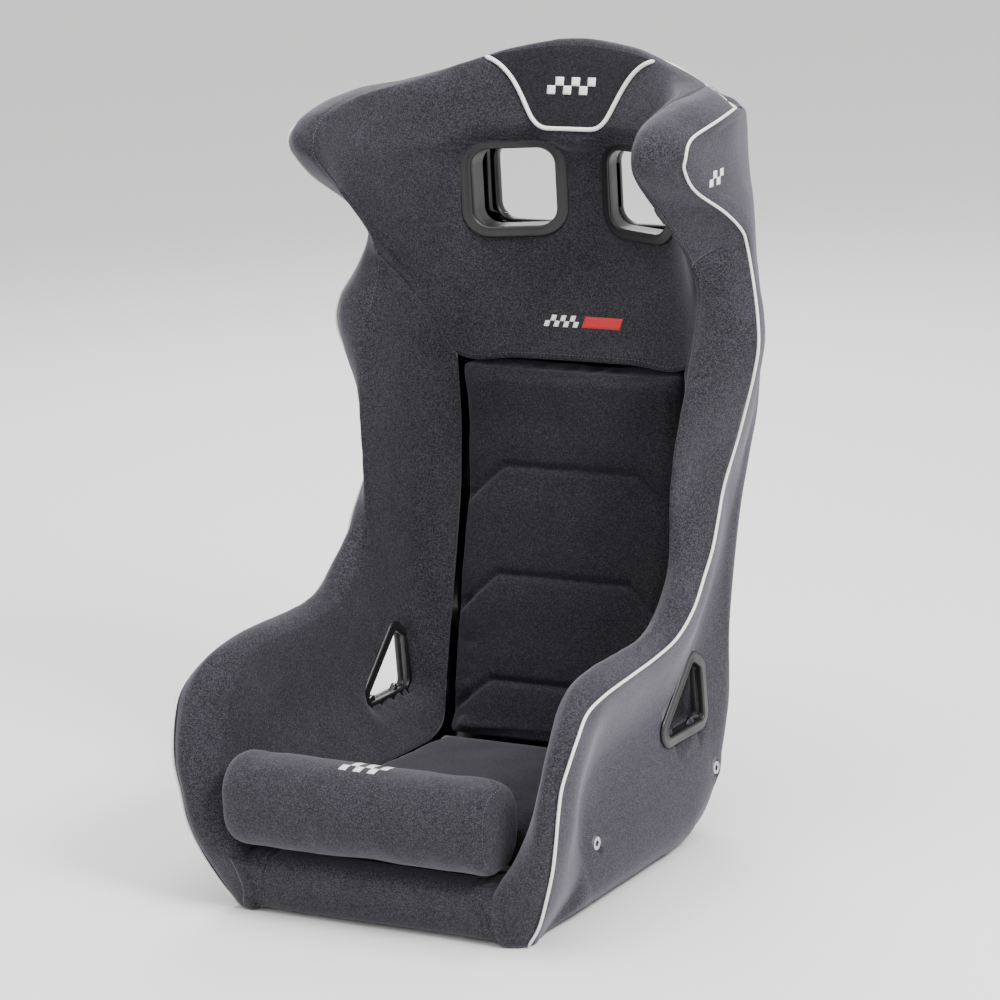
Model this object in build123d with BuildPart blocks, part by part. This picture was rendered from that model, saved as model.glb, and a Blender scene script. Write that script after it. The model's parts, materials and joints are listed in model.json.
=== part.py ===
from build123d import *
import os
from math import cos, radians, sin, tan

# A fixed-back racing bucket seat with head wings. Millimetres; X across the seat,
# the occupant faces -Y, +Z up. The flat underside of the shell lies on Z = 0.

os.makedirs("parts", exist_ok=True)

# ---------------------------------------------------------------- driving dimensions
overall_height = 908          # crown of the headrest above the underside
side_mount_width = 406        # across the outer faces of the two side walls
shoulder_width = 560          # across the rim at the shoulder supports
seat_rim_height = 272         # top of the thigh sides
thigh_length = 285            # front lip, ahead of the origin
back_depth = 306              # rearmost point of the shell, behind the origin
lip_height = 66               # front wall of the pan

cover_thickness = 2.5         # outer fabric with its thin foam backing
shell_wall = 4.5              # glass-fibre laminate
rim_inset = 9                 # the shell edge stays this far inside the padded rim
piping_radius = 2.2

cushion_half_width = 150      # seat and back cushions
cushion_gap = 0.5             # between a lift-out cushion and what is beside it
cushion_cover = 2             # fabric round each foam core
strip_gap = 3                 # room for a hook strip and a loop strip face to face
strip_thickness = 1.4
strip_width = 30

roll_half_length = 173
roll_depth = 94
roll_height = 110
roll_corner = 44

slot_opening = 92             # shoulder harness slots
slot_corner = 14
slot_centre_x = 82
bezel_flange = 14
bezel_wall = 2.5
bezel_thickness = 4
bezel_tilt = 22               # the upper back curves forwards at its sides

insert_spacing = 290          # between the two threaded holes of a side
insert_height = 78            # above the underside
insert_middle_y = 12
insert_radius = 7.5
insert_length = 7.2
thread_core_radius = 3.4      # M8
thread_depth = 6.5

crotch_slot_width = 120
crotch_slot_length = 34
crotch_slot_y = -158

hip = side_mount_width / 2
shoulder = shoulder_width / 2
front = -thigh_length
far_front = front - 120
far_back = back_depth + 60


def up(share):
    """Height of a place on the backrest: 0 at the thigh rim, 1 at the crown."""
    return seat_rim_height + share * (overall_height - seat_rim_height)


# ---------------------------------------------------------------- horizontal sections
# A section is (z, back, half, radius, side): the back edge at Y = back, a corner of the
# given radius at X = half, and the side edge through the points of side, from back to front.
pan_rear_y, pan_mid_y, flare_y = 40, 2, front + 118


def pan_section(z, back, half, radius, front_half):
    side = [(half, pan_rear_y), (half, pan_mid_y), (half, flare_y), (front_half, front)]
    return z, back, half, radius, side


def torso_section(z, back, half, radius, rim_half, rim_y):
    near_y = min(rim_y + 38, back - radius - 8)
    near = (half + 0.35 * (rim_half - half), near_y)
    side = [near, (rim_half, rim_y), (rim_half + 3, flare_y), (rim_half + 6, front)]
    return z, back, half, radius, side


outer_sections = [
    pan_section(0, back_depth - 172, hip - 25, 38, hip - 17),
    pan_section(8, back_depth - 146, hip - 13, 38, hip - 10),
    pan_section(30, back_depth - 124, hip - 4, 40, hip + 5),
    pan_section(75, back_depth - 102, hip, 40, hip + 25),
    pan_section(150, back_depth - 82, hip + 1, 40, hip + 40),
    pan_section(seat_rim_height - 57, back_depth - 86, hip + 2, 42, hip + 49),
    pan_section(seat_rim_height - 32, back_depth - 90, hip + 3, 42, hip + 51),
    torso_section(up(0.000), back_depth - 84, hip + 4, 45, hip + 40, pan_mid_y),
    torso_section(up(0.096), back_depth - 60, hip + 3, 50, hip + 37, 81),
    torso_section(up(0.226), back_depth - 38, hip + 9, 53, hip + 33, 141),
    torso_section(up(0.313), back_depth - 28, hip + 21, 57, hip + 42, 165),
    torso_section(up(0.371), back_depth - 23, shoulder - 46, 60, shoulder - 21, 161),
    torso_section(up(0.429), back_depth - 19, shoulder - 40, 63, shoulder - 8, 157),
    torso_section(up(0.486), back_depth - 16, shoulder - 37, 65, shoulder, 155),
    torso_section(up(0.531), back_depth - 13, shoulder - 38, 70, shoulder - 2, 162),
    torso_section(up(0.575), back_depth - 11, shoulder - 39, 75, shoulder - 14, 180),
    torso_section(up(0.653), back_depth - 7, hip + 35, 88, hip + 48, 193),
    torso_section(up(0.730), back_depth - 5, hip + 33, 100, hip + 50, 138),
    torso_section(up(0.785), back_depth - 4, hip + 30, 108, hip + 50, 74),
    torso_section(up(0.838), back_depth - 3, hip + 28, 115, hip + 53, 42),
    torso_section(up(0.909), back_depth - 2, hip + 26, 122, hip + 52, 42),
    torso_section(up(1.020), back_depth, hip + 23, 130, hip + 50, 42),
]


def lining_section(z, back, half, radius, near, rim, front_half):
    side = [near, rim, (front_half, flare_y + 17), (front_half + 4, front + 80)]
    return z, back, half, radius, side


bolster_foot = cushion_half_width + cushion_gap
roll_end = roll_half_length + 5

# The inside surface of the padding.
lining_sections = [
    (-5, 130, bolster_foot, 30, [(bolster_foot, 40), (bolster_foot, 2),
                                 (bolster_foot, flare_y + 17), (roll_end, front + 80)]),
    (88, 150, bolster_foot + 3, 30, [(bolster_foot + 3, 40), (bolster_foot + 3, 2),
                                     (bolster_foot + 3, flare_y + 17), (roll_end, front + 80)]),
    lining_section(118, 165, hip - 11, 70, (hip - 11, 40), (hip - 11, 2), hip - 11),
    lining_section(240, 182, hip - 8, 75, (hip - 7, 40), (hip - 6, 2), hip - 4),
    lining_section(up(0.000), 192, hip - 8, 75, (hip - 7, 40), (hip - 4, 2), hip),
    lining_section(up(0.096), 205, hip - 13, 75, (hip - 7, 60), (hip - 3, 20), hip + 4),
    lining_section(up(0.226), 222, hip - 15, 80, (hip - 10, 110), (hip - 1, 70), hip + 10),
    lining_section(up(0.288), 228, hip - 17, 80, (hip - 12, 120), (hip + 2, 76), hip + 12),
    lining_section(up(0.409), 238, hip - 12, 90, (hip - 4, 130), (hip + 12, 86), hip + 22),
    lining_section(up(0.516), 255, hip + 2, 108, (hip + 7, 138), (hip + 17, 112), hip + 24),
    lining_section(up(0.624), 272, hip + 2, 168, (hip + 3, 98), (hip + 4, 60), hip + 8),
    lining_section(up(0.708), 273, hip, 188, (hip + 1, 60), (hip + 2, 20), hip + 8),
    lining_section(up(0.796), 269, hip - 2, 180, (hip - 1, 60), (hip + 1, 20), hip + 8),
    lining_section(up(0.830), 245, hip - 3, 155, (hip - 1, 60), (hip + 2, 20), hip + 8),
    lining_section(up(0.909), 258, hip - 5, 150, (hip - 1, 60), (hip + 2, 20), hip + 8),
    lining_section(up(1.020), 288, hip - 8, 150, (hip - 1, 60), (hip + 2, 20), hip + 8),
]


def section_face(section, inset=0.0):
    z, back, half, radius, side = section
    back -= inset
    half -= inset
    radius -= inset / 2
    right = [(x - inset, y) for x, y in side]
    with BuildLine(Plane.XY.offset(z)) as outline:
        Line((0, back), (half - radius, back))
        CenterArc((half - radius, back - radius), radius, 0, 90)
        Polyline((half, back - radius), *right, (right[-1][0], far_front), (0, far_front))
        mirror(about=Plane.YZ)
    return Face(outline.wires()[0])


def tub(sections, inset=0.0):
    """Straight lofts from each section to the next, joined to one body."""
    wires = [section_face(section, inset).outer_wire() for section in sections]
    with BuildPart() as body:
        add([Solid.make_loft(pair, ruled=True) for pair in zip(wires, wires[1:])])
    return body.part


def back_at(z, inset=0.0):
    """Y of the back edge of the outer sections at a height."""
    for low, high in zip(outer_sections, outer_sections[1:]):
        if z <= high[0]:
            share = (z - low[0]) / (high[0] - low[0])
            return low[1] + share * (high[1] - low[1]) - inset
    return back_depth - inset


def wall_points(z_high, z_low, inset):
    """Points (y, z) down the middle of the back, offset forwards from the outer surface."""
    levels = [section[0] for section in outer_sections if z_low < section[0] < z_high]
    return [(back_at(z, inset), z) for z in [z_high, *reversed(levels), z_low]]


# ---------------------------------------------------------------- side outlines
# Corners (y, z, radius) of the rim in side view, from the front of the underside, over the
# thigh, up the back and over the head wing to the crown.
piping_corners = [
    (front - 8, 150, 120), (front + 15, seat_rim_height - 3, 45),
    (47, seat_rim_height, 190), (170, up(0.310), 60), (153, up(0.503), 70),
    (205, up(0.648), 20), (30, up(0.830), 13), (40, up(0.884), 13), (178, up(0.901), 90),
]
piping_start = (front + 18, -20)
piping_end = (back_depth - 6, up(1.0))

# The same for the crown of the padding, which stands ahead of the piping.
crown_corners = [
    (front + 8, 120, 80), (front + 60, seat_rim_height + 1, 60),
    (35, seat_rim_height + 4, 115), (78, up(0.319), 150), (118, up(0.500), 60),
    (165, up(0.616), 13), (6, up(0.852), 12), (20, up(0.896), 12), (178, up(0.926), 60),
]
crown_start = (front + 45, -20)
crown_end = (back_depth - 6, up(1.011))


def outline_face(start, corners, end, x, inset=0.0):
    points = [start] + [(y, z) for y, z, radius in corners] + [end]
    with BuildLine(Plane.YZ.offset(x)) as outline:
        FilletPolyline(*points, radius=[radius for y, z, radius in corners])
        Polyline(end, (far_back, end[1]), (far_back, start[1]), start)
    return Face(outline.wires()[0])


def crown_face(x):
    return outline_face(crown_start, crown_corners, crown_end, x)


def piping_face(x):
    return outline_face(piping_start, piping_corners, piping_end, x)


reach = shoulder + 40
with BuildPart() as shell_prism:
    shell_outline = piping_face(-reach).outer_wire().offset_2d(-rim_inset, Kind.INTERSECTION)
    extrude(Face(shell_outline), amount=2 * reach, dir=(1, 0, 0))

crown_x, slope_x = hip + 5, hip + 42
with BuildPart() as crown_body:
    extrude(crown_face(0), amount=crown_x, dir=(1, 0, 0))
    loft(sections=[crown_face(crown_x), piping_face(slope_x)], ruled=True)
    extrude(piping_face(slope_x), amount=reach - slope_x, dir=(1, 0, 0))
    mirror(about=Plane.YZ)

# ---------------------------------------------------------------- zones shared by the parts
outer_body = tub(outer_sections)
inner_inset = cover_thickness + shell_wall
lining_body = tub(lining_sections)


def slab(z_low, z_high, half_x=reach, y_low=far_front - 20, y_high=far_back + 20):
    with BuildPart() as body:
        with Locations((0, (y_low + y_high) / 2, (z_low + z_high) / 2)):
            Box(2 * half_x, y_high - y_low, z_high - z_low)
    return body.part


lip_outline = piping_face(-reach).outer_wire().offset_2d(-rim_inset - shell_wall,
                                                         Kind.INTERSECTION)
with BuildPart() as interior:
    add(tub(outer_sections, inner_inset))
    add(slab(-20, shell_wall), mode=Mode.SUBTRACT)
    with BuildPart(mode=Mode.PRIVATE) as front_wall_space:
        add(slab(-20, lip_height))
        extrude(Face(lip_outline), amount=2 * reach, dir=(1, 0, 0), mode=Mode.SUBTRACT)
    add(front_wall_space.part, mode=Mode.SUBTRACT)

with BuildPart() as laminate_zone:
    add(outer_body)
    add(interior.part, mode=Mode.SUBTRACT)
    add(shell_prism.part, mode=Mode.INTERSECT)

# The crown of the headrest in front view.
crown_z = up(1.016)
with BuildPart() as head_outline:
    with BuildSketch(Plane.XZ.offset(-far_back)):
        with BuildLine():
            FilletPolyline((-reach, crown_z - 0.29 * reach), (0, crown_z),
                           (reach, crown_z - 0.29 * reach), radius=[220])
            Polyline((reach, crown_z - 0.29 * reach), (reach, -20), (-reach, -20),
                     (-reach, crown_z - 0.29 * reach))
        make_face()
    extrude(amount=far_back - far_front + 20)

# The seam from the top corner of the back cushion up to the rim at the neck.
cushion_top_z = up(0.409)
neck_z = up(0.657)
seam_slope = (neck_z - cushion_top_z) / (hip + 48 - cushion_half_width)
seam_reach_z = cushion_top_z + seam_slope * (reach - cushion_half_width)


def side_zone():
    """Everything outboard of the cushions and below the seam, on the +X side."""
    with BuildPart() as zone:
        with BuildSketch(Plane.XZ.offset(-far_back)):
            with BuildLine():
                Polyline((bolster_foot, -20), (bolster_foot, cushion_top_z),
                         (reach, seam_reach_z), (reach, -20), close=True)
            make_face()
        extrude(amount=far_back - far_front + 20)
    return zone.part


# ---------------------------------------------------------------- openings through the shell
slot_z = up(0.725)
slot_outer = slot_opening + 2 * bezel_wall


def rounded_prism(width, height, corner, plane, depth):
    with BuildPart() as prism:
        with BuildSketch(plane):
            RectangleRounded(width, height, corner)
        extrude(amount=depth)
    return prism.part


def slot_plane(side, y):
    return Plane((side * slot_centre_x, y, slot_z), x_dir=(1, 0, 0), z_dir=(0, 1, 0))


lap_corners = [(-5, 136, 18), (104, seat_rim_height - 34, 16), (136, 216, 14), (140, 134, 14)]


def lap_prism(x_low, x_high, shrink):
    with BuildPart() as prism:
        with BuildSketch(Plane.YZ.offset(x_low)):
            with BuildLine():
                FilletPolyline(*[(y, z) for y, z, radius in lap_corners], close=True,
                               radius=[radius for y, z, radius in lap_corners])
            make_face()
            offset(amount=-shrink)
        extrude(amount=x_high - x_low)
    return prism.part


crotch_outer_width = crotch_slot_width + 2 * bezel_wall
crotch_outer_length = crotch_slot_length + 2 * bezel_wall
base_top = 50
crotch_plane = Plane.XY.offset(0).move(Location((0, crotch_slot_y, 0)))
crotch_cut = rounded_prism(crotch_outer_width, crotch_outer_length, 12, crotch_plane, base_top + 5)

insert_y = [insert_middle_y - insert_spacing / 2, insert_middle_y + insert_spacing / 2]
insert_face_x = hip + 0.6


def insert_group(grow=0.0, bored=True):
    """The two threaded inserts of the +X side, bonded into the laminate."""
    with BuildPart() as group:
        for y in insert_y:
            with BuildSketch(Plane((insert_face_x, y, insert_height), x_dir=(0, 1, 0),
                                   z_dir=(-1, 0, 0))):
                Circle(insert_radius + grow)
            extrude(amount=insert_length if bored else insert_length + 2)
            if bored:
                with BuildSketch(Plane((insert_face_x, y, insert_height), x_dir=(0, 1, 0),
                                       z_dir=(-1, 0, 0))):
                    Circle(thread_core_radius)
                extrude(amount=thread_depth, mode=Mode.SUBTRACT)
    return group.part


def both_sides(name, make):
    """Write the +X piece that make() returns, and its mirror image."""
    piece = make()
    for side, solid in (("right", piece), ("left", mirror(piece, about=Plane.YZ))):
        solid.label = f"{name}_{side}"
        export_step(solid, f"parts/{solid.label}.step")
    return piece

# ---------------------------------------------------------------- shell and outer covers
with BuildPart() as shell:
    add(tub(outer_sections, cover_thickness))
    add(interior.part, mode=Mode.SUBTRACT)
    add(shell_prism.part, mode=Mode.INTERSECT)
    add(head_outline.part, mode=Mode.INTERSECT)
    for side in (-1, 1):
        add(rounded_prism(slot_outer, slot_outer, slot_corner, slot_plane(side, 120), 250),
            mode=Mode.SUBTRACT)
    lap_cut = lap_prism(hip - 60, hip + 60, bezel_flange - bezel_wall)
    for cut in (lap_cut, insert_group(bored=False)):
        add(cut, mode=Mode.SUBTRACT)
        add(mirror(cut, about=Plane.YZ), mode=Mode.SUBTRACT)
    add(crotch_cut, mode=Mode.SUBTRACT)

# The laminate is moulded as four panels that are bonded edge to edge.
panel_half = cushion_half_width + 10
pan_height = 160
big = 2 * overall_height


def shell_panel(name, x_low, x_high, z_low, z_high):
    with BuildPart() as panel:
        add(shell.part)
        with Locations(((x_low + x_high) / 2, 0, (z_low + z_high) / 2)):
            Box(x_high - x_low, big, z_high - z_low, mode=Mode.INTERSECT)
    panel.part.label = name
    export_step(panel.part, f"parts/{name}.step")


shell_panel("shell_pan", -panel_half, panel_half, -big, pan_height)
shell_panel("shell_back", -panel_half, panel_half, pan_height, big)
shell_panel("shell_side_left", -big, -panel_half, -big, big)
shell_panel("shell_side_right", panel_half, big, -big, big)

cover_edge_x = hip - 43       # where each outer cover ends on the back of the shell


def outer_side_cover():
    with BuildPart() as cover:
        add(outer_body)
        add(tub(outer_sections, cover_thickness), mode=Mode.SUBTRACT)
        add(shell_prism.part, mode=Mode.INTERSECT)
        add(head_outline.part, mode=Mode.INTERSECT)
        with Locations((cover_edge_x + reach / 2, 0, overall_height / 2)):
            Box(reach, 2 * far_back - 2 * far_front, 2 * overall_height, mode=Mode.INTERSECT)
        add(lap_cut, mode=Mode.SUBTRACT)
        add(insert_group(bored=False), mode=Mode.SUBTRACT)
    return cover.part


both_sides("outer_side_cover", outer_side_cover)

# ---------------------------------------------------------------- padding of the sides and head
with BuildPart() as padding:
    add(outer_body)
    add(crown_body.part, mode=Mode.INTERSECT)
    add(head_outline.part, mode=Mode.INTERSECT)
    add(lining_body, mode=Mode.SUBTRACT)
    add(laminate_zone.part, mode=Mode.SUBTRACT)
    with Locations((0, 0, -20)):
        Box(2 * reach, 4 * far_back, 40, mode=Mode.SUBTRACT)

lap_face_x = hip - 13


def lap_bezel_inner():
    """Flange on the padded side, with a short tube through padding and wall."""
    with BuildPart() as bezel:
        add(lap_prism(lap_face_x, lap_face_x + bezel_thickness, 0))
        add(lap_prism(lap_face_x, hip - 1, bezel_flange - bezel_wall))
        add(lap_prism(lap_face_x - 5, hip + 5, bezel_flange), mode=Mode.SUBTRACT)
    return bezel.part


def side_bolster():
    with BuildPart() as bolster:
        add(padding.part)
        add(side_zone(), mode=Mode.INTERSECT)
        add(lap_cut, mode=Mode.SUBTRACT)
        add(lap_prism(lap_face_x - 5, lap_face_x + bezel_thickness, 0), mode=Mode.SUBTRACT)
    return bolster.part


def lap_bezel_outer():
    with BuildPart() as bezel:
        add(lap_prism(hip - 1, hip + 6, 0))
        add(lap_prism(hip - 5, hip + 10, bezel_flange), mode=Mode.SUBTRACT)
        add(outer_body, mode=Mode.SUBTRACT)
        add(lap_prism(hip - 1, hip + 3, bezel_flange - bezel_wall))
        add(lap_prism(hip - 5, hip + 10, bezel_flange), mode=Mode.SUBTRACT)
    return bezel.part


both_sides("side_bolster", side_bolster)
both_sides("lap_bezel_inner", lap_bezel_inner)
both_sides("lap_bezel_outer", lap_bezel_outer)
both_sides("mount_inserts", insert_group)

wing_x = hip - 18             # the head wings' pads start here

with BuildPart() as upper_padding:
    add(padding.part)
    add(side_zone(), mode=Mode.SUBTRACT)
    add(mirror(side_zone(), about=Plane.YZ), mode=Mode.SUBTRACT)


def head_wing_pad():
    with BuildPart() as pad:
        add(upper_padding.part)
        with Locations((wing_x + reach / 2, 0, overall_height / 2)):
            Box(reach, 2 * far_back - 2 * far_front, 2 * overall_height, mode=Mode.INTERSECT)
    return pad.part


both_sides("head_wing_pad", head_wing_pad)


def lining_y(x, z):
    """Y of the padding's inside surface on the back, at a place in front view."""
    for low, high in zip(lining_sections, lining_sections[1:]):
        if low[0] <= z <= high[0]:
            share = (z - low[0]) / (high[0] - low[0])
            back, half, radius = [a + share * (b - a) for a, b in zip(low[1:4], high[1:4])]
    centre_x = half - radius
    if abs(x) <= centre_x:
        return back
    return back - radius + (radius ** 2 - (abs(x) - centre_x) ** 2) ** 0.5


slot_face_y = lining_y(slot_centre_x, slot_z)


def slot_flange(hollow=True):
    """The front flange of a +X shoulder slot, on the slanted face of the padding."""
    size = slot_opening + 2 * bezel_flange
    with BuildPart() as flange:
        add(rounded_prism(size, size, slot_corner + bezel_flange, slot_plane(1, 120), 200))
        with Locations(Location((slot_centre_x, slot_face_y, slot_z), (0, 0, -bezel_tilt))):
            Box(3 * size, bezel_thickness, 2 * size, mode=Mode.INTERSECT)
        if hollow:
            add(rounded_prism(slot_opening, slot_opening, slot_corner, slot_plane(1, 100), 250),
                mode=Mode.SUBTRACT)
    return flange.part


def shoulder_bezel_front():
    with BuildPart() as bezel:
        add(rounded_prism(slot_outer, slot_outer, slot_corner, slot_plane(1, 120),
                          back_at(slot_z) - 120))
        with Locations(Location((slot_centre_x, slot_face_y, slot_z), (0, 0, -bezel_tilt))):
            with Locations((0, 100 - bezel_thickness / 2, 0)):
                Box(400, 200, 400, mode=Mode.INTERSECT)
        add(slot_flange(hollow=False))
        add(rounded_prism(slot_opening, slot_opening, slot_corner, slot_plane(1, 100), 250),
            mode=Mode.SUBTRACT)
    return bezel.part


def shoulder_bezel_rear():
    size = slot_opening + 2 * bezel_flange
    with BuildPart() as bezel:
        add(rounded_prism(size, size, slot_corner + bezel_flange,
                          slot_plane(1, back_at(slot_z) - 8), 8 + bezel_thickness))
        add(rounded_prism(slot_outer, slot_outer, slot_corner, slot_plane(1, 100), 250),
            mode=Mode.SUBTRACT)
        add(tub(outer_sections, cover_thickness), mode=Mode.SUBTRACT)
    return bezel.part


both_sides("shoulder_bezel_front", shoulder_bezel_front)
both_sides("shoulder_bezel_rear", shoulder_bezel_rear)

# The panel under the back cushion's sloping top edge runs 45 degrees down to the shell.
cushion_top_y = 216
with BuildPart() as upper_back_pad:
    add(upper_padding.part)
    with Locations((0, 0, overall_height / 2)):
        Box(2 * wing_x, 2 * far_back - 2 * far_front, 2 * overall_height, mode=Mode.INTERSECT)
    with BuildSketch(Plane.YZ.offset(-bolster_foot)):
        with BuildLine():
            Polyline((cushion_top_y - 200, cushion_top_z + 200 + cushion_gap),
                     (cushion_top_y + 200, cushion_top_z - 200 + cushion_gap),
                     (cushion_top_y + 200, -20), (far_front, -20),
                     (far_front, cushion_top_z + 200 + cushion_gap), close=True)
        make_face()
    extrude(amount=2 * bolster_foot, mode=Mode.SUBTRACT)
    for side in (-1, 1):
        add(rounded_prism(slot_outer, slot_outer, slot_corner, slot_plane(side, 120), 250),
            mode=Mode.SUBTRACT)
    flange_space = slot_flange(hollow=False)
    add(flange_space, mode=Mode.SUBTRACT)
    add(mirror(flange_space, about=Plane.YZ), mode=Mode.SUBTRACT)
upper_back_pad.part.label = "upper_back_pad"
export_step(upper_back_pad.part, "parts/upper_back_pad.step")

# ---------------------------------------------------------------- headrest panel
panel_top_half, panel_foot_half = 104, 39
panel_foot_z, panel_top_z = up(0.830) + 2, up(0.968)
panel_thickness = 4
with BuildPart() as head_badge_panel:
    with BuildSketch(Plane.XZ.offset(-far_back)) as panel_outline:
        with BuildLine():
            FilletPolyline((panel_top_half, panel_top_z), (panel_foot_half, panel_foot_z),
                           (-panel_foot_half, panel_foot_z), (-panel_top_half, panel_top_z),
                           radius=[16, 16])
            Line((-panel_top_half, panel_top_z), (panel_top_half, panel_top_z))
        make_face()
    extrude(amount=far_back - 150)
    add(lining_body, mode=Mode.INTERSECT)
    add(tub(lining_sections, panel_thickness), mode=Mode.SUBTRACT)
head_badge_panel.part.label = "head_badge_panel"
export_step(head_badge_panel.part, "parts/head_badge_panel.step")


def bead(route, radii, radius):
    """A round bead of piping along a route with rounded corners."""
    with BuildPart() as piece:
        with BuildLine():
            path = FilletPolyline(*route, radius=radii)
        with BuildSketch(Plane(path @ 0, z_dir=path % 0)):
            Circle(radius)
        sweep()
    return piece.part


def on_panel(x, z):
    return x, lining_y(x, z) - panel_thickness - piping_radius / 2, z


panel_route = [on_panel(x, z) for x, z in (
    (-panel_top_half, panel_top_z), (-panel_foot_half, panel_foot_z),
    (panel_foot_half, panel_foot_z), (panel_top_half, panel_top_z))]
badge_piping = bead(panel_route, [14, 14], piping_radius)
badge_piping.label = "badge_piping"
export_step(badge_piping, "parts/badge_piping.step")

# ---------------------------------------------------------------- piping along the rim
side_route = [
    (hip - 15, front + 18, 6), (hip + 3, front + 12, 28), (hip + 20, front + 2, 65),
    (hip + 38, front - 3, 134), (hip + 47, front - 1, seat_rim_height - 76),
    (hip + 52, front + 30, seat_rim_height - 32), (hip + 50, front + 66, seat_rim_height - 10),
    (hip + 45, front + 150, seat_rim_height), (hip + 40, -20, seat_rim_height + 4),
    (hip + 39, 44, up(0.047)), (hip + 36, 88, up(0.105)), (hip + 33, 135, up(0.210)),
    (hip + 38, 163, up(0.305)), (shoulder - 22, 161, up(0.371)), (shoulder - 5, 156, up(0.445)),
    (shoulder + 1, 156, up(0.500)), (shoulder - 7, 170, up(0.553)), (hip + 51, 192, up(0.620)),
    (hip + 48, 193, up(0.672)), (hip + 50, 130, up(0.738)), (hip + 51, 62, up(0.803)),
    (hip + 55, 41, up(0.842)), (hip + 53, 66, up(0.885)), (hip + 49, 130, up(0.899)),
    (hip + 40, 190, up(0.907)),
]
side_radii = [60, 60, 60, 60, 40, 60, 60, 60, 60, 60, 60, 60, 60, 60, 60, 50, 40, 14, 30, 40, 12,
              12, 50]


def side_piping():
    return bead(side_route, side_radii, piping_radius)


both_sides("side_piping", side_piping)

# ---------------------------------------------------------------- front lip and pan padding
lip_top = lip_height + 4
apron_half = hip - 20
with BuildPart() as front_apron_cover:
    with BuildSketch(Plane.YZ.offset(-apron_half)):
        with BuildLine():
            Polyline((front + 19, 0), (front + 3, lip_top), (front + 28, lip_top),
                     (front + 28, lip_height), (front + 12, lip_height), (front + 27, 0),
                     close=True)
        make_face()
    extrude(amount=2 * apron_half)
    add(shell_prism.part, mode=Mode.SUBTRACT)
    for side in (-1, 1):
        add(mirror(padding.part, about=Plane.YZ) if side < 0 else padding.part,
            mode=Mode.SUBTRACT)
front_apron_cover.part.label = "front_apron_cover"
export_step(front_apron_cover.part, "parts/front_apron_cover.step")

roll_bottom = lip_height + 4 + strip_gap
riser_back = front + 68       # the thigh roll's pad ends here
cushion_rear_y = 114
back_cushion_bottom = 88
riser_half = cushion_half_width


def across(half_x, points):
    """A piece with one side profile, from -half_x to +half_x."""
    with BuildPart() as piece:
        with BuildSketch(Plane.YZ.offset(-half_x)):
            with BuildLine():
                Polyline(*points, close=True)
            make_face()
        extrude(amount=2 * half_x)
    return piece.part


riser_top = roll_bottom - strip_gap
floor_z = shell_wall
with BuildPart() as seat_base_pad:
    add(across(cushion_half_width, [
        (riser_back - 5, floor_z), (riser_back - 5, base_top), (cushion_rear_y + 4, base_top),
        (cushion_rear_y + 6, back_cushion_bottom - 2),
        *wall_points(back_cushion_bottom - 2, floor_z, inner_inset + 1)]))
    add(across(riser_half, [(front + 29, floor_z), (front + 29, riser_top),
                            (riser_back, riser_top), (riser_back, floor_z)]))
    add(padding.part, mode=Mode.SUBTRACT)
    add(crotch_cut, mode=Mode.SUBTRACT)
seat_base_pad.part.label = "seat_base_pad"
export_step(seat_base_pad.part, "parts/seat_base_pad.step")

with BuildPart() as crotch_slot_bezel:
    with BuildSketch(Plane.XY.offset(base_top).move(Location((0, crotch_slot_y, 0)))):
        RectangleRounded(crotch_slot_width + 20, crotch_slot_length + 20, 16)
    extrude(amount=2)
    add(rounded_prism(crotch_outer_width, crotch_outer_length, 12, crotch_plane, base_top))
    add(rounded_prism(crotch_slot_width, crotch_slot_length, 10, crotch_plane, base_top + 5),
        mode=Mode.SUBTRACT)
crotch_slot_bezel.part.label = "crotch_slot_bezel"
export_step(crotch_slot_bezel.part, "parts/crotch_slot_bezel.step")


# ---------------------------------------------------------------- lift-out cushions
def foam_and_cover(name, half_x, draw_profile, cut=None):
    """A foam core inside a closed fabric cover; the profile is drawn in side view."""
    solids = []
    for inset in (0, cushion_cover):
        with BuildPart() as block:
            with BuildSketch(Plane.YZ.offset(inset - half_x)):
                draw_profile()
                if inset:
                    offset(amount=-inset)
            extrude(amount=2 * (half_x - inset))
            if cut:
                with BuildSketch(Plane.XY):
                    with Locations((0, cut[1])):
                        Rectangle(cut[2] + 2 * inset, cut[3] + 2 * inset)
                extrude(amount=cut[0], mode=Mode.SUBTRACT)
        solids.append(block.part)
    whole, foam = solids
    cover = whole - foam
    for part_name, solid in ((f"{name}_cover", cover), (f"{name}_foam", foam)):
        solid.label = part_name
        export_step(solid, f"parts/{part_name}.step")


def back_cushion_profile():
    z_back = cushion_top_z - (back_at(cushion_top_z - 45, inner_inset) - cushion_top_y) + strip_gap
    rear = wall_points(z_back, back_cushion_bottom, inner_inset + strip_gap)
    with BuildLine() as side:
        Polyline((132, back_cushion_bottom), (146, 105), (170, 244), (211, up(0.173)),
                 (cushion_top_y, up(0.288)), (cushion_top_y, cushion_top_z), *rear, close=True)
    make_face(side.edges())


seat_bottom = base_top + strip_gap
notch_rear_y = crotch_slot_y + crotch_slot_length / 2 + 16


def seat_cushion_profile():
    with BuildLine() as side:
        Polyline((riser_back + 5, seat_bottom), (riser_back + 5, 108),
                 (cushion_rear_y, 92), (cushion_rear_y, seat_bottom), close=True)
    make_face(side.edges())


def thigh_roll_profile():
    roll_centre_y = riser_back - 3 - roll_depth / 2
    with Locations((roll_centre_y, roll_bottom + roll_height / 2)):
        RectangleRounded(roll_depth, roll_height, roll_corner)


notch = (200, riser_back, crotch_slot_width + 30, 2 * (notch_rear_y - riser_back))
foam_and_cover("back_cushion", cushion_half_width, back_cushion_profile)
foam_and_cover("seat_cushion", cushion_half_width, seat_cushion_profile, notch)
foam_and_cover("thigh_roll", roll_half_length, thigh_roll_profile)


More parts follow.
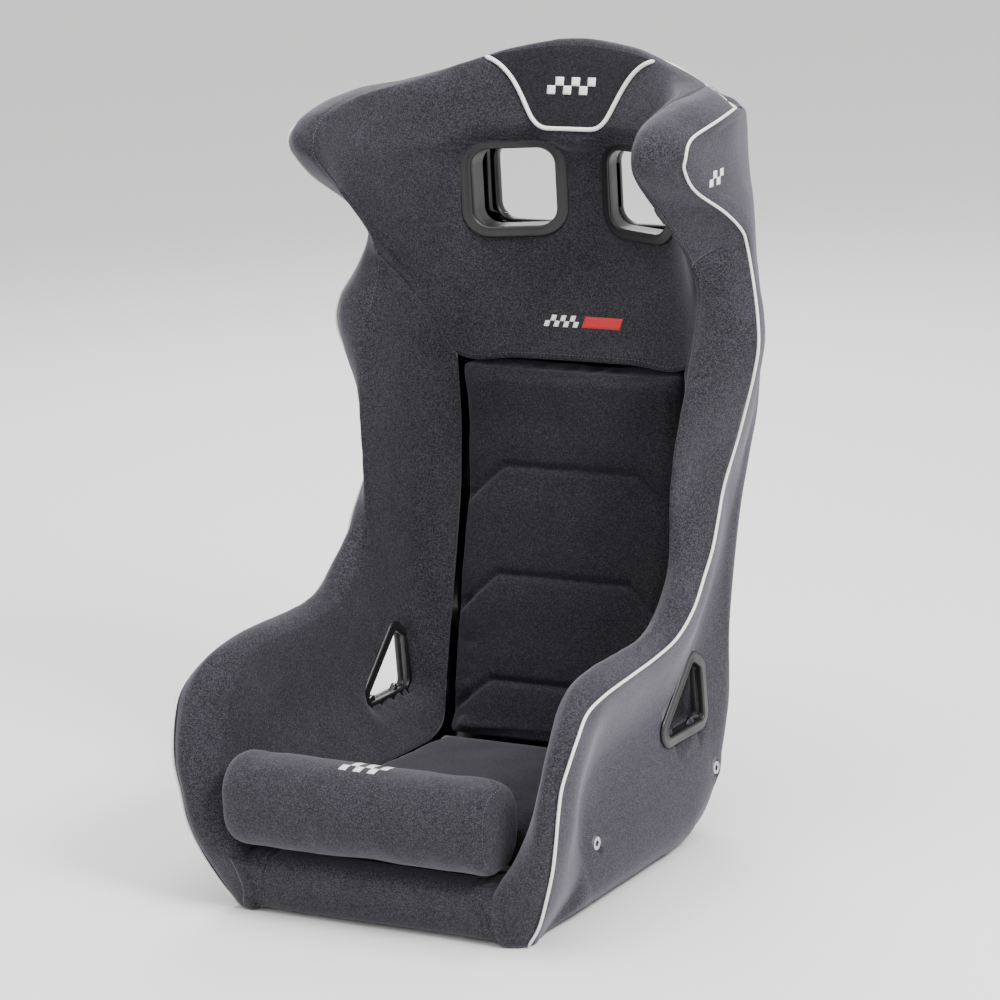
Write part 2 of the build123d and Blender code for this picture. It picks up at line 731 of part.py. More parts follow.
# ---------------------------------------------------------------- hook and loop strips
def strips(name, half_x, places, direction):
    """Flat strips between two (y, z) ends, grown by one thickness along direction."""
    dy, dz = (strip_thickness * part for part in direction)
    with BuildPart() as group:
        for (y1, z1), (y2, z2) in places:
            add(across(half_x, [(y1, z1), (y2, z2), (y2 + dy, z2 + dz), (y1 + dy, z1 + dz)]))
    group.part.label = name
    export_step(group.part, f"parts/{name}.step")


seat_places = [(-90, -90 + strip_width), (40, 40 + strip_width)]
strips("seat_hook_strips", 110, [((a, base_top), (b, base_top)) for a, b in seat_places], (0, 1))
strips("seat_loop_strips", 110, [((a, seat_bottom), (b, seat_bottom)) for a, b in seat_places],
       (0, -1))
roll_places = [(riser_back - 40, riser_back - 40 + strip_width)]
strips("roll_hook_strip", 120, [((a, riser_top), (b, riser_top)) for a, b in roll_places], (0, 1))
strips("roll_loop_strip", 120, [((a, roll_bottom), (b, roll_bottom)) for a, b in roll_places],
       (0, -1))
back_places = [(seat_rim_height + 10, seat_rim_height + 40), (up(0.25), up(0.25) + strip_width)]
for name, inset, step in (("back_hook_strips", inner_inset, -1),
                          ("back_loop_strips", inner_inset + strip_gap, 1)):
    strips(name, 110, [((back_at(a, inset), a), (back_at(b, inset), b)) for a, b in back_places],
           (step, 0))
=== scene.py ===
import json
import math

import bmesh
import bpy
import numpy as np
from mathutils import Matrix, Vector, noise
from mathutils.bvhtree import BVHTree

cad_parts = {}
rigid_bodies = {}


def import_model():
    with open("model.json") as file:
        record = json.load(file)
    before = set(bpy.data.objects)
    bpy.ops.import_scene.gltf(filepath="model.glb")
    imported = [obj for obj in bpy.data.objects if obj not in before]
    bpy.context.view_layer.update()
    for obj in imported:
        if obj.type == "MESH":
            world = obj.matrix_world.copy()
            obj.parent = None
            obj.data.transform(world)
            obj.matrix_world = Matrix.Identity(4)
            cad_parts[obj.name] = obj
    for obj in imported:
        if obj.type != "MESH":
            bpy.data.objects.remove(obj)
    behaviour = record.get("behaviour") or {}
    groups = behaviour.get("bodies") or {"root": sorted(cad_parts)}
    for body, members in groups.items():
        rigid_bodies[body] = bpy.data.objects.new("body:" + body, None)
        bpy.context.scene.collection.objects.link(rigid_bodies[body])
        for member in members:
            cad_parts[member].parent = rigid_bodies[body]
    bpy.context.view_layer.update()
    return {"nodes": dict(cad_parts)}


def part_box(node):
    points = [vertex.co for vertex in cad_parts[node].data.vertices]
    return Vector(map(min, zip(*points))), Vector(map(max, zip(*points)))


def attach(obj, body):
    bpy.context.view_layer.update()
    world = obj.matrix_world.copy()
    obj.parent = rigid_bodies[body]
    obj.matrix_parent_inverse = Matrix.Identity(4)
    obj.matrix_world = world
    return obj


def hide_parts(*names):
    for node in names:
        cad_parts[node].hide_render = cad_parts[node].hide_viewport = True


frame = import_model()
mm = 0.001

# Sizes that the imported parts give, in millimetres.
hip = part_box("mount_inserts_right")[1][0] / mm         # outer face of a side wall
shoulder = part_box("side_piping_right")[1][0] / mm      # widest point of the rim
rollBox = [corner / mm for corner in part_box("thigh_roll_cover")]
seatBox = [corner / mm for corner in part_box("seat_cushion_cover")]
print("frame loaded")


# ---- guides -------------------------------------------------------------------------
# The covers are drawn over ribs. Rib number 0 stands at the foot of the front edge; the
# ribs run along the thigh, up the back and round the head wing to number 38 at the crown.
# Each guide gives one point of the right half of every rib: number, x, y, z.
s = shoulder - 2
guides = {
    # the piping, at the widest line of the rim
    "piping": [
        (0, 188, -267, 2), (1, 206, -273, 28), (2, 223, -283, 65), (3, 235, -288, 100),
        (4, 241, -288, 134), (5, 246, -289, 164), (6, 249, -284, 192), (7, 253, -272, 217),
        (8, 255, -255, 240), (9, 252, -226, 259), (10, 252, -185, 268), (11, 249, -120, 271),
        (12, 243, -51, 272), (13, 242, 2, 280), (14, 242, 44, 302), (15, 239, 81, 333),
        (16, 240, 100, 358), (17, 238, 119, 385), (18, 235, 141, 416), (19, 238, 155, 443),
        (20, 244, 165, 471), (21, s - 22, 161, 508), (22, s - 9, 157, 545), (23, s, 155, 581),
        (24, s - 3, 162, 610), (25, 265, 180, 638), (26, 255, 192, 666), (27, 251, 193, 687),
        (28, 252, 180, 708), (29, 253, 138, 736), (30, 250, 74, 771), (31, 253, 45, 799),
        (32, 257, 42, 813), (33, 257, 48, 825), (34, 256, 67, 833), (35, 256, 123, 841),
        (36, 248, 178, 845), (37, 236, 205, 843), (38, 215, 232, 843)],
    # the front of the padded rim
    "brow": [
        (0, 174, -275, 2), (1, 190, -281, 30), (2, 207, -291, 66), (3, 218, -297, 100),
        (4, 224, -299, 136), (5, 228, -298, 168), (6, 231, -290, 202), (7, 233, -272, 232),
        (8, 233, -250, 257), (9, 231, -222, 277), (10, 230, -184, 285), (11, 227, -120, 288),
        (12, 223, -50, 289), (13, 222, -2, 298), (14, 222, 32, 321), (15, 221, 62, 350),
        (16, 221, 78, 371), (17, 219, 94, 394), (18, 218, 107, 420), (19, 221, 117, 445),
        (20, 226, 124, 472), (21, s - 43, 125, 508), (22, s - 32, 126, 546),
        (23, s - 26, 126, 585), (24, s - 28, 134, 614), (25, 242, 152, 642),
        (26, 236, 162, 668), (27, 232, 164, 690), (28, 232, 149, 712), (29, 232, 108, 742),
        (30, 230, 49, 778), (31, 230, 21, 803), (32, 232, 15, 820), (33, 232, 21, 835),
        (34, 232, 46, 848), (35, 230, 108, 859), (36, 224, 176, 862), (37, 215, 210, 857),
        (38, 200, 240, 850)],
    # where the rim rolls over to the inside
    "crest": [
        (0, 158, -277, 2), (1, 152, -282, 30), (2, 160, -286, 64), (3, 186, -284, 102),
        (4, 197, -272, 134), (5, 203, -262, 162), (6, 205, -246, 187), (7, 206, -231, 221),
        (8, 206, -213, 249), (9, 206, -185, 267), (10, 206, -150, 273), (11, 204, -95, 274),
        (12, 203, -45, 274), (13, 202, 0, 283), (14, 202, 32, 302), (15, 202, 54, 328),
        (16, 202, 66, 353), (17, 202, 72, 383), (18, 203, 75, 416), (19, 205, 78, 446),
        (20, 208, 82, 477), (21, 212, 92, 511), (22, 216, 104, 545), (23, 218, 116, 578),
        (24, 216, 132, 608), (25, 214, 146, 636), (26, 212, 148, 656), (27, 211, 140, 674),
        (28, 209, 122, 700), (29, 207, 86, 737), (30, 205, 40, 777), (31, 205, 17, 799),
        (32, 205, 13, 816), (33, 205, 21, 833), (34, 205, 48, 849), (35, 203, 108, 860),
        (36, 200, 186, 864), (37, 190, 226, 864), (38, 178, 252, 858)],
    # the inside wall of the padding
    "wall": [
        (0, 160, -262, 4), (1, 160, -262, 30), (2, 166, -258, 64), (3, 179, -240, 102),
        (4, 184, -235, 125), (5, 190, -225, 140), (6, 193, -205, 150), (7, 195, -190, 165),
        (8, 196, -175, 175), (9, 196, -150, 180), (10, 196, -120, 180), (11, 195, -80, 178),
        (12, 195, -40, 176), (13, 195, 5, 180), (14, 194, 50, 190), (15, 191, 95, 210),
        (16, 188, 125, 245), (17, 186, 143, 285), (18, 184, 150, 335), (19, 183, 155, 385),
        (20, 183, 158, 430), (21, 185, 160, 475), (22, 188, 166, 515), (23, 190, 172, 548),
        (24, 192, 177, 575), (25, 193, 180, 596), (26, 193, 182, 612), (27, 194, 181, 626),
        (28, 197, 170, 652), (29, 200, 132, 692), (30, 200, 96, 736), (31, 199, 80, 765),
        (32, 198, 75, 786), (33, 197, 80, 802), (34, 195, 102, 826), (35, 186, 152, 858),
        (36, 172, 214, 869), (37, 160, 246, 872), (38, 150, 266, 868)],
    # the seam beside the cushions, and above them a line up the side of the back
    "seam": [
        (0, 165, -240, 6), (1, 165, -235, 14), (2, 172, -225, 60), (3, 177, -205, 92),
        (4, 165, -190, 98), (5, 160, -175, 97), (6, 157, -160, 96), (7, 155, -140, 95),
        (8, 154, -120, 94), (9, 154, -100, 93), (10, 153, -75, 92), (11, 153, -40, 91),
        (12, 152, 0, 90), (13, 152, 40, 89), (14, 152, 80, 88), (15, 152, 114, 90),
        (16, 152, 138, 104), (17, 151, 148, 150), (18, 151, 162, 205), (19, 151, 178, 262),
        (20, 151, 193, 316), (21, 151, 205, 365), (22, 151, 212, 408), (23, 151, 216, 446),
        (24, 151, 217, 478), (25, 151, 217, 502), (26, 151, 217, 520), (27, 151, 217, 535),
        (28, 150, 224, 588), (29, 150, 224, 648), (30, 151, 214, 710), (31, 151, 208, 750),
        (32, 150, 204, 776), (33, 148, 199, 792), (34, 145, 206, 816), (35, 140, 219, 856),
        (36, 140, 236, 877), (37, 125, 262, 883), (38, 118, 278, 879)],
    # halfway to the middle, above the back cushion
    "quarter": [
        (27, 76, 222, 535), (28, 75, 242, 580), (29, 75, 259, 640), (30, 75, 260, 704),
        (31, 75, 257, 748), (32, 75, 251, 774), (33, 72, 238, 788), (34, 72, 239, 806),
        (35, 72, 248, 846), (36, 72, 263, 892), (37, 65, 283, 897), (38, 60, 296, 890)],
    "middle": [
        (27, 0, 224, 535), (28, 0, 246, 578), (29, 0, 267, 636), (30, 0, 273, 700),
        (31, 0, 272, 745), (32, 0, 266, 772), (33, 0, 247, 786), (34, 0, 244, 803),
        (35, 0, 254, 840), (36, 0, 272, 900), (37, 0, 292, 905), (38, 0, 303, 897)],
    # the outer side, from just behind the piping to the middle of the back or the floor
    "flare": [
        (0, 190, -255, 1), (2, 222, -255, 62), (4, 239, -252, 126), (6, 246, -246, 174),
        (8, 249, -225, 214), (10, 244, -175, 242), (12, 234, -55, 246), (14, 232, 55, 270),
        (16, 229, 126, 332), (17, 226, 152, 370), (18, 222, 176, 405), (19, 228, 190, 436),
        (20, 236, 200, 465), (21, s - 30, 196, 503), (22, s - 18, 192, 542),
        (23, s - 9, 190, 579), (24, s - 12, 196, 610), (25, 257, 208, 638),
        (26, 250, 214, 666), (27, 249, 212, 689), (28, 251, 205, 709), (29, 253, 180, 735),
        (30, 254, 110, 762), (31, 256, 90, 782), (32, 258, 85, 805), (33, 258, 95, 820),
        (34, 257, 115, 829), (35, 256, 150, 838), (36, 246, 195, 843), (37, 232, 220, 842),
        (38, 210, 235, 845)],
    "flank": [
        (0, 186, -240, 0), (2, hip, -185, 48), (4, hip, -175, 92), (6, hip, -168, 122),
        (8, hip, -150, 148), (10, hip, -120, 168), (12, hip, -55, 176), (14, hip, 40, 188),
        (16, hip, 115, 232), (17, 206, 168, 300), (18, 207, 205, 360), (19, 214, 222, 412),
        (20, 222, 228, 450), (21, 234, 228, 492), (22, 240, 230, 535), (23, 246, 232, 574),
        (24, 244, 236, 610), (25, 240, 240, 638), (26, 238, 240, 666), (27, 238, 240, 690),
        (28, 238, 240, 711), (29, 240, 232, 736), (30, 247, 200, 758), (31, 248, 190, 778),
        (32, 249, 185, 800), (33, 250, 185, 820), (34, 248, 195, 832), (35, 243, 215, 838),
        (36, 231, 230, 842), (37, 214, 244, 847), (38, 199, 241, 850)],
    "corner": [
        (0, 182, -225, 0), (2, 200, -175, 16), (4, 200, -140, 16), (6, 200, -100, 16),
        (8, 200, -60, 16), (10, 200, -20, 16), (12, 200, 25, 16), (14, 200, 75, 18),
        (15, 200, 110, 26), (16, 200, 160, 62), (17, 202, 196, 150), (17.6, 202, 200, 225),
        (18, 200, 218, 280), (19, 203, 243, 370), (20, 210, 255, 425), (21, 218, 262, 475),
        (22, 222, 266, 525), (23, 226, 268, 570), (24, 224, 270, 606), (25, 222, 272, 636),
        (26, 218, 275, 666), (27, 216, 277, 692), (28, 214, 278, 714), (29, 212, 278, 738),
        (30, 212, 276, 760), (31, 212, 275, 780), (32, 212, 275, 802), (33, 212, 275, 808),
        (34, 211, 275, 818), (35, 209, 274, 828), (36, 203, 272, 836), (37, 190, 270, 846),
        (38, 172, 256, 860)],
    "edge": [
        (0, 160, -232, 0), (2, 172, -172, 0), (4, 172, -132, 0), (6, 172, -92, 0),
        (8, 172, -52, 0), (10, 172, -15, 0), (12, 172, 25, 0), (14, 172, 68, 0),
        (15, 170, 105, 1), (16, 164, 170, 18), (16.5, 162, 203, 70), (17, 160, 222, 146),
        (17.6, 158, 219, 222), (18, 156, 232, 292), (19, 150, 262, 372), (20, 150, 272, 425),
        (21, 150, 281, 475), (22, 150, 286, 525), (23, 150, 290, 570), (24, 150, 293, 606),
        (25, 150, 295, 636), (26, 150, 297, 666), (27, 150, 299, 692), (28, 150, 300, 714),
        (29, 150, 301, 738), (30, 150, 302, 760), (31, 150, 302, 780), (32, 150, 303, 802),
        (33, 150, 303, 816), (34, 150, 303, 828), (35, 147, 302, 840), (36, 142, 300, 851),
        (37, 135, 294, 863), (38, 126, 275, 876)],
    "spine": [
        (0, 0, -245, 0), (2, 0, -172, 0), (4, 0, -132, 0), (6, 0, -92, 0), (8, 0, -52, 0),
        (10, 0, -15, 0), (12, 0, 25, 0), (14, 0, 68, 0), (15, 0, 105, 1), (16, 0, 172, 18),
        (16.5, 0, 206, 70), (17, 0, 225, 146), (17.6, 0, 222, 222), (18, 0, 235, 292),
        (19, 0, 263, 372), (20, 0, 274, 425), (21, 0, 282, 475), (22, 0, 287, 525),
        (23, 0, 291, 570), (24, 0, 294, 606), (25, 0, 296, 636), (26, 0, 298, 666),
        (27, 0, 299, 692), (28, 0, 300, 714), (29, 0, 301, 738), (30, 0, 302, 760),
        (31, 0, 302, 780), (32, 0, 303, 802), (33, 0, 303, 822), (34, 0, 303, 842),
        (35, 0, 303, 862), (36, 0, 304, 880), (37, 0, 304, 890), (38, 0, 305, 895)],
}

ribs = {"last": 38, "headSeam": 27, "rowsPerRib": 11}
skins = {
    "inner": ["piping", "brow", "crest", "wall", "seam"],
    "head": ["piping", "brow", "crest", "wall", "seam", "quarter", "middle"],
    "outer": ["piping", "flare", "flank", "corner", "edge", "spine"],
    "columns": {"brow": 7, "crest": 7, "wall": 20, "seam": 19, "quarter": 12, "middle": 12,
                "flare": 6, "flank": 17, "corner": 9, "edge": 8, "spine": 9},
}


def cubicThrough(knots, values, places):
    knots, values = np.array(knots, float), np.array(values, float)
    steps = np.diff(knots)[:, None]
    chords = np.diff(values, axis=0) / steps
    slopes = np.vstack([chords[:1], (chords[:-1] * steps[1:] + chords[1:] * steps[:-1])
                        / (steps[1:] + steps[:-1]), chords[-1:]])
    index = np.clip(np.searchsorted(knots, places, side="right") - 1, 0, len(knots) - 2)
    h = steps[index]
    t = ((places - knots[index]) / h[:, 0])[:, None]
    a, b = values[index], values[index + 1]
    return (a * (1 + 2 * t) * (1 - t) ** 2 + b * t ** 2 * (3 - 2 * t)
            + h * (slopes[index] * t * (1 - t) ** 2 + slopes[index + 1] * t ** 2 * (t - 1)))


def guideLine(name, places):  # points of one guide, in mm
    table = np.array(guides[name], float)
    return cubicThrough(table[:, 0], table[:, 1:], np.asarray(places, float))


def mirrored(points):
    return points * np.array([-1, 1, 1])


def ribSurface(kind, first, last, whole=False):
    # a grid of points, ribs by columns, smooth through the guides of one skin
    places = np.linspace(first, last, int((last - first) * ribs["rowsPerRib"]) + 1)
    names = skins[kind]
    lines = np.stack([guideLine(name, places) for name in names], axis=1)
    spans = [skins["columns"][name] for name in names[1:]]
    if whole:
        lines = np.concatenate([lines, mirrored(lines)[:, -2::-1]], axis=1)
        spans += spans[::-1]
    grid = []
    for line in lines:
        gaps = np.linalg.norm(np.diff(line, axis=0), axis=1) ** 0.5
        knots = np.concatenate([[0], np.cumsum(np.maximum(gaps, 0.2))])
        stops = [knots[:1]] + [np.linspace(knots[k], knots[k + 1], span + 1)[1:]
                               for k, span in enumerate(spans)]
        grid.append(cubicThrough(knots, line, np.concatenate(stops)))
    return np.array(grid)


def columnOf(kind, name):
    names = skins[kind]
    return sum(skins["columns"][n] for n in names[1:names.index(name) + 1])


def gridNormals(grid, outward):
    normal = np.cross(np.gradient(grid, axis=0), np.gradient(grid, axis=1))
    normal /= np.maximum(np.linalg.norm(normal, axis=2, keepdims=True), 1e-9)
    return normal if np.sum(normal * np.array(outward)) > 0 else -normal


def alongRows(grid):  # distance in mm from the first column, along each rib
    steps = np.linalg.norm(np.diff(grid, axis=1), axis=2)
    return np.concatenate([np.zeros((len(grid), 1)), np.cumsum(steps, axis=1)], axis=1)


def bump(distance, width):
    return np.exp(-(distance / width) ** 2)


def wrinkles(points, size, seed, stretch=(1, 1, 1)):
    # soft uneven relief, from -1 to 1
    flat = points.reshape(-1, 3) / (np.array(stretch) * size)
    values = [noise.noise(Vector(p) + Vector((seed, 0, 0))) for p in flat]
    return np.array(values).reshape(points.shape[:-1])


# ---- making pieces ------------------------------------------------------------------
def addPiece(name, vertices, faces, materials, body="root", faceMaterials=None, flat=False):
    mesh = bpy.data.meshes.new(name)
    mesh.from_pydata((np.asarray(vertices, float) * mm).tolist(), [], faces)
    for material in materials if isinstance(materials, list) else [materials]:
        mesh.materials.append(material)
    if faceMaterials is not None:
        mesh.polygons.foreach_set("material_index", faceMaterials)
    mesh.polygons.foreach_set("use_smooth", [not flat] * len(mesh.polygons))
    mesh.update()
    piece = bpy.data.objects.new(name, mesh)
    bpy.context.scene.collection.objects.link(piece)
    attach(piece, body)
    return piece


def cleanMesh(piece, recalculate=False):
    work = bmesh.new()
    work.from_mesh(piece.data)
    bmesh.ops.delete(work, geom=[v for v in work.verts if not v.link_faces], context="VERTS")
    if recalculate:
        bmesh.ops.remove_doubles(work, verts=work.verts, dist=1e-5)
        bmesh.ops.recalc_face_normals(work, faces=work.faces)
    work.to_mesh(piece.data)
    work.free()


def sheetPiece(name, grid, outward, thickness, materials, keep=None, choose=None, body="root"):
    # a cover from a grid, given its thickness inwards; keep and choose get each face's centre
    rows, columns = grid.shape[:2]
    i, j = np.meshgrid(np.arange(rows - 1), np.arange(columns - 1), indexing="ij")
    corner = (i * columns + j).ravel()
    quads = np.stack([corner, corner + columns, corner + columns + 1, corner + 1], axis=1)
    centres = grid.reshape(-1, 3)[quads].mean(axis=1)
    normal = np.cross(grid[1:, :-1] - grid[:-1, :-1], grid[:-1, 1:] - grid[:-1, :-1])
    if np.sum(normal * np.array(outward)) < 0:
        quads = quads[:, ::-1]
    kept = np.ones(len(quads), bool) if keep is None else keep(centres)
    chosen = None if choose is None else choose(centres, j.ravel())[kept].astype(int)
    piece = addPiece(name, grid.reshape(-1, 3), quads[kept].tolist(), materials, body, chosen)
    cleanMesh(piece)
    wall = piece.modifiers.new("wall", "SOLIDIFY")
    wall.thickness = thickness * mm
    wall.offset = -1
    return piece


def loopPiece(name, loops, materials, body="root", closed=False):
    # a closed form from rings of points; its ends are faces, unless it closes on itself
    loops = np.asarray(loops, float)
    count, around = loops.shape[:2]
    faces = []
    for k in range(count if closed else count - 1):
        a, b = k * around, (k + 1) % count * around
        faces += [(a + i, a + (i + 1) % around, b + (i + 1) % around, b + i)
                  for i in range(around)]
    if not closed:
        faces += [tuple(range(around))[::-1],
                  tuple(range((count - 1) * around, count * around))]
    piece = addPiece(name, loops.reshape(-1, 3), faces, materials, body)
    cleanMesh(piece, recalculate=True)
    return piece


def tubePiece(name, path, radius, materials, body="root", around=10):
    # a bead along a line of points, with rounded ends
    path = np.asarray(path, float)
    tangent = np.gradient(path, axis=0)
    tangent /= np.linalg.norm(tangent, axis=1, keepdims=True)
    side = np.cross(tangent[0], (0.3, 0.2, 0.9))
    rings = []
    for k, (point, along) in enumerate(zip(path, tangent)):
        side -= along * np.dot(side, along)
        side /= np.linalg.norm(side)
        other = np.cross(along, side)
        end = min(k, len(path) - 1 - k)
        size = radius * (0.55 if end == 0 else 1)
        angles = np.linspace(0, 2 * math.pi, around, endpoint=False)
        rings.append([point + size * (math.cos(a) * side + math.sin(a) * other)
                      for a in angles])
    return loopPiece(name, rings, materials, body)


def evenly(path, spacing):  # the same line with points a fixed distance apart
    path = np.asarray(path, float)
    run = np.concatenate([[0], np.cumsum(np.linalg.norm(np.diff(path, axis=0), axis=1))])
    stops = np.linspace(0, run[-1], max(3, int(run[-1] / spacing) + 1))
    return np.stack([np.interp(stops, run, path[:, k]) for k in range(3)], axis=1)


def roundedOutline(corners, radius, grow=0, around=7):
    # a closed outline in two coordinates; grow moves it outwards by that much
    corners = [Vector(c) for c in corners]
    centre = sum(corners, Vector((0, 0))) / len(corners)
    outline = []
    for before, corner, after in zip(corners[-1:] + corners[:-1], corners,
                                     corners[1:] + corners[:1]):
        u, v = (before - corner).normalized(), (after - corner).normalized()
        half = u.angle(v) / 2
        middle = corner + (u + v).normalized() * (radius / math.sin(half))
        normals = []
        for edge in (u, v):
            normal = Vector((edge.y, -edge.x))
            if normal.dot(corner - centre) < 0:
                normal = -normal
            normals.append(normal)
        for k in range(around):
            share = k / (around - 1)
            direction = (normals[0] * (1 - share) + normals[1] * share).normalized()
            outline.append(middle + direction * (radius + grow))
    return outline


def insideOutline(points, corners, radius, grow=0):
    outline = roundedOutline(corners, radius, grow)
    inside = np.zeros(len(points), bool)
    for a, b in zip(outline, outline[1:] + outline[:1]):
        crosses = (a.y > points[:, 1]) != (b.y > points[:, 1])
        rise = b.y - a.y if abs(b.y - a.y) > 1e-9 else 1e-9
        inside ^= crosses & (points[:, 0] < (b.x - a.x) * (points[:, 1] - a.y) / rise + a.x)
    return inside


def bezelPiece(name, corners, radius, place, flange, proud, deep, wall, material):
    # a moulded frame around an opening: a rounded flange and a wall that goes in
    profile = [(0.0, -deep), (0.0, proud - 2.6), (0.25, proud - 1.5), (0.9, proud - 0.5),
               (2.0, proud), (3.2, proud - 0.1), (4.0, proud - 0.6), (flange * 0.6, proud - 0.7),
               (flange - 2.4, proud - 1.0), (flange - 1.0, proud - 1.7),
               (flange - 0.2, proud - 2.8), (flange, -0.6),
               (flange - 1.5, -1.2), (wall + 1.5, -1.2), (wall, -3.0), (wall, -deep)]
    rings = [[place(point.x, point.y, height) for point in
              roundedOutline(corners, radius, grow, around=9)] for grow, height in profile]
    return loopPiece(name, rings, material, closed=True)


def surfaceTree(*grids):
    vertices, faces = [], []
    for grid in grids:
        start, (rows, columns) = len(vertices), grid.shape[:2]
        vertices += [Vector(p) for p in grid.reshape(-1, 3)]
        faces += [(start + i * columns + j, start + (i + 1) * columns + j,
                   start + (i + 1) * columns + j + 1, start + i * columns + j + 1)
                  for i in range(rows - 1) for j in range(columns - 1)]
    return BVHTree.FromPolygons(vertices, faces)


def landOn(tree, points, direction, lift=0.0, reach=400):
    # points moved along direction onto a surface, then lifted back off it
    direction = Vector(direction).normalized()
    landed = []
    for point in points:
        start = Vector(point) - direction * reach
        spot = tree.ray_cast(start, direction)[0]
        landed.append(np.array((spot if spot else Vector(point)) - direction * lift))
    return np.array(landed)


# ---- materials ----------------------------------------------------------------------
def linear(hexColour):
    channels = [int(hexColour[k:k + 2], 16) / 255 for k in (1, 3, 5)]
    return (*[c / 12.92 if c <= 0.04045 else ((c + 0.055) / 1.055) ** 2.4
              for c in channels], 1)


def addNode(tree, kind, settings=None, inputs=None, links=None):
    node = tree.nodes.new(kind)
    for key, value in (settings or {}).items():
        setattr(node, key, value)
    for key, value in (inputs or {}).items():
        node.inputs[key].default_value = value
    for key, source in (links or {}).items():
        tree.links.new(source, node.inputs[key])
    return node


def startMaterial(name, shader):
    material = bpy.data.materials.new(name)
    material.use_nodes = True
    tree = material.node_tree
    principled = tree.nodes["Principled BSDF"]
    for key, value in shader.items():
        principled.inputs[key].default_value = value
    place = addNode(tree, "ShaderNodeTexCoord").outputs["Object"]
    return material, tree, principled, place


def rampBetween(tree, source, stops):
    ramp = addNode(tree, "ShaderNodeValToRGB", links={"Fac": source})
    while len(ramp.color_ramp.elements) < len(stops):
        ramp.color_ramp.elements.new(0.5)
    for element, (position, colour) in zip(ramp.color_ramp.elements, stops):
        element.position = position
        element.color = linear(colour)
    return ramp.outputs["Color"]


def heatherKnit(name, darkHex, midHex, lightHex, sheen, grainMm=1.25, relief=0.3):
    # Polyester heather knit: pale and dark yarns knitted together give an even pepper and
    # salt mottle, and the brushed face gives a soft pale sheen at glancing angles.
    material, tree, shader, place = startMaterial(name, {
        "Roughness": 0.9, "Sheen Weight": sheen, "Sheen Roughness": 0.5,
        "Sheen Tint": linear("#CFCBDA"), "Specular IOR Level": 0.22})
    yarn = addNode(tree, "ShaderNodeTexNoise", inputs={
        "Scale": 1 / (grainMm * mm), "Detail": 1.0, "Roughness": 0.5}, links={"Vector": place})
    fleck = addNode(tree, "ShaderNodeTexVoronoi", {"feature": "F1"}, {
        "Scale": 1 / (grainMm * 1.15 * mm), "Randomness": 1.0}, {"Vector": place})
    worn = addNode(tree, "ShaderNodeTexNoise", inputs={
        "Scale": 1 / (70 * mm), "Detail": 2.0}, links={"Vector": place})
    fleckShade = addNode(tree, "ShaderNodeSeparateColor", links={"Color": fleck.outputs["Color"]})
    mottle = addNode(tree, "ShaderNodeMix", {"data_type": "FLOAT"}, {0: 0.45},
                     {2: yarn.outputs["Fac"], 3: fleckShade.outputs[0]})
    colour = rampBetween(tree, mottle.outputs[0], [
        (0.3, darkHex), (0.5, midHex), (0.74, lightHex)])
    shade = addNode(tree, "ShaderNodeMapRange", inputs={
        "From Min": 0.3, "From Max": 0.7, "To Min": 0.9, "To Max": 1.1},
        links={"Value": worn.outputs["Fac"]})
    tinted = addNode(tree, "ShaderNodeVectorMath", {"operation": "SCALE"},
                     links={0: colour, "Scale": shade.outputs["Result"]})
    tree.links.new(tinted.outputs[0], shader.inputs["Base Color"])
    height = addNode(tree, "ShaderNodeMath", {"operation": "ADD"},
                     links={0: fleck.outputs["Distance"], 1: yarn.outputs["Fac"]})
    relieved = addNode(tree, "ShaderNodeBump", inputs={"Strength": relief, "Distance": 0.5 * mm},
                       links={"Height": height.outputs[0]})
    tree.links.new(relieved.outputs[0], shader.inputs["Normal"])
    return material


def mouldedPlastic(name, colourHex, roughness, grainMm, coat=0.0, relief=0.12):
    # Injection moulded ABS: a fine spark-eroded grain over a satin skin.
    material, tree, shader, place = startMaterial(name, {
        "Roughness": roughness, "IOR": 1.53, "Coat Weight": coat, "Coat Roughness": 0.12})
    grain = addNode(tree, "ShaderNodeTexNoise", inputs={
        "Scale": 1 / (grainMm * mm), "Detail": 2.0}, links={"Vector": place})
    smear = addNode(tree, "ShaderNodeTexNoise", inputs={
        "Scale": 1 / (38 * mm), "Detail": 3.0}, links={"Vector": place})
    colour = rampBetween(tree, smear.outputs["Fac"], [(0.3, colourHex), (0.75, colourHex)])
    tree.links.new(colour, shader.inputs["Base Color"])
    gloss = addNode(tree, "ShaderNodeMapRange", inputs={
        "From Min": 0.3, "From Max": 0.7, "To Min": roughness - 0.05,
        "To Max": roughness + 0.07}, links={"Value": smear.outputs["Fac"]})
    tree.links.new(gloss.outputs["Result"], shader.inputs["Roughness"])
    relieved = addNode(tree, "ShaderNodeBump", inputs={"Strength": relief, "Distance": 0.2 * mm},
                       links={"Height": grain.outputs["Fac"]})
    tree.links.new(relieved.outputs[0], shader.inputs["Normal"])
    return material


def twistedThread(name, colourHex, sheen=0.2):
    # Bonded polyester thread: twisted plies catch the light in fine slanting lines.
    material, tree, shader, place = startMaterial(name, {
        "Roughness": 0.55, "Sheen Weight": sheen, "Base Color": linear(colourHex)})
    plies = addNode(tree, "ShaderNodeTexWave", {"bands_direction": "DIAGONAL"}, {
        "Scale": 1 / (7 * mm), "Distortion": 0.4}, {"Vector": place})
    relieved = addNode(tree, "ShaderNodeBump", inputs={"Strength": 0.3, "Distance": 0.2 * mm},
                       links={"Height": plies.outputs["Fac"]})
    tree.links.new(relieved.outputs[0], shader.inputs["Normal"])
    return material


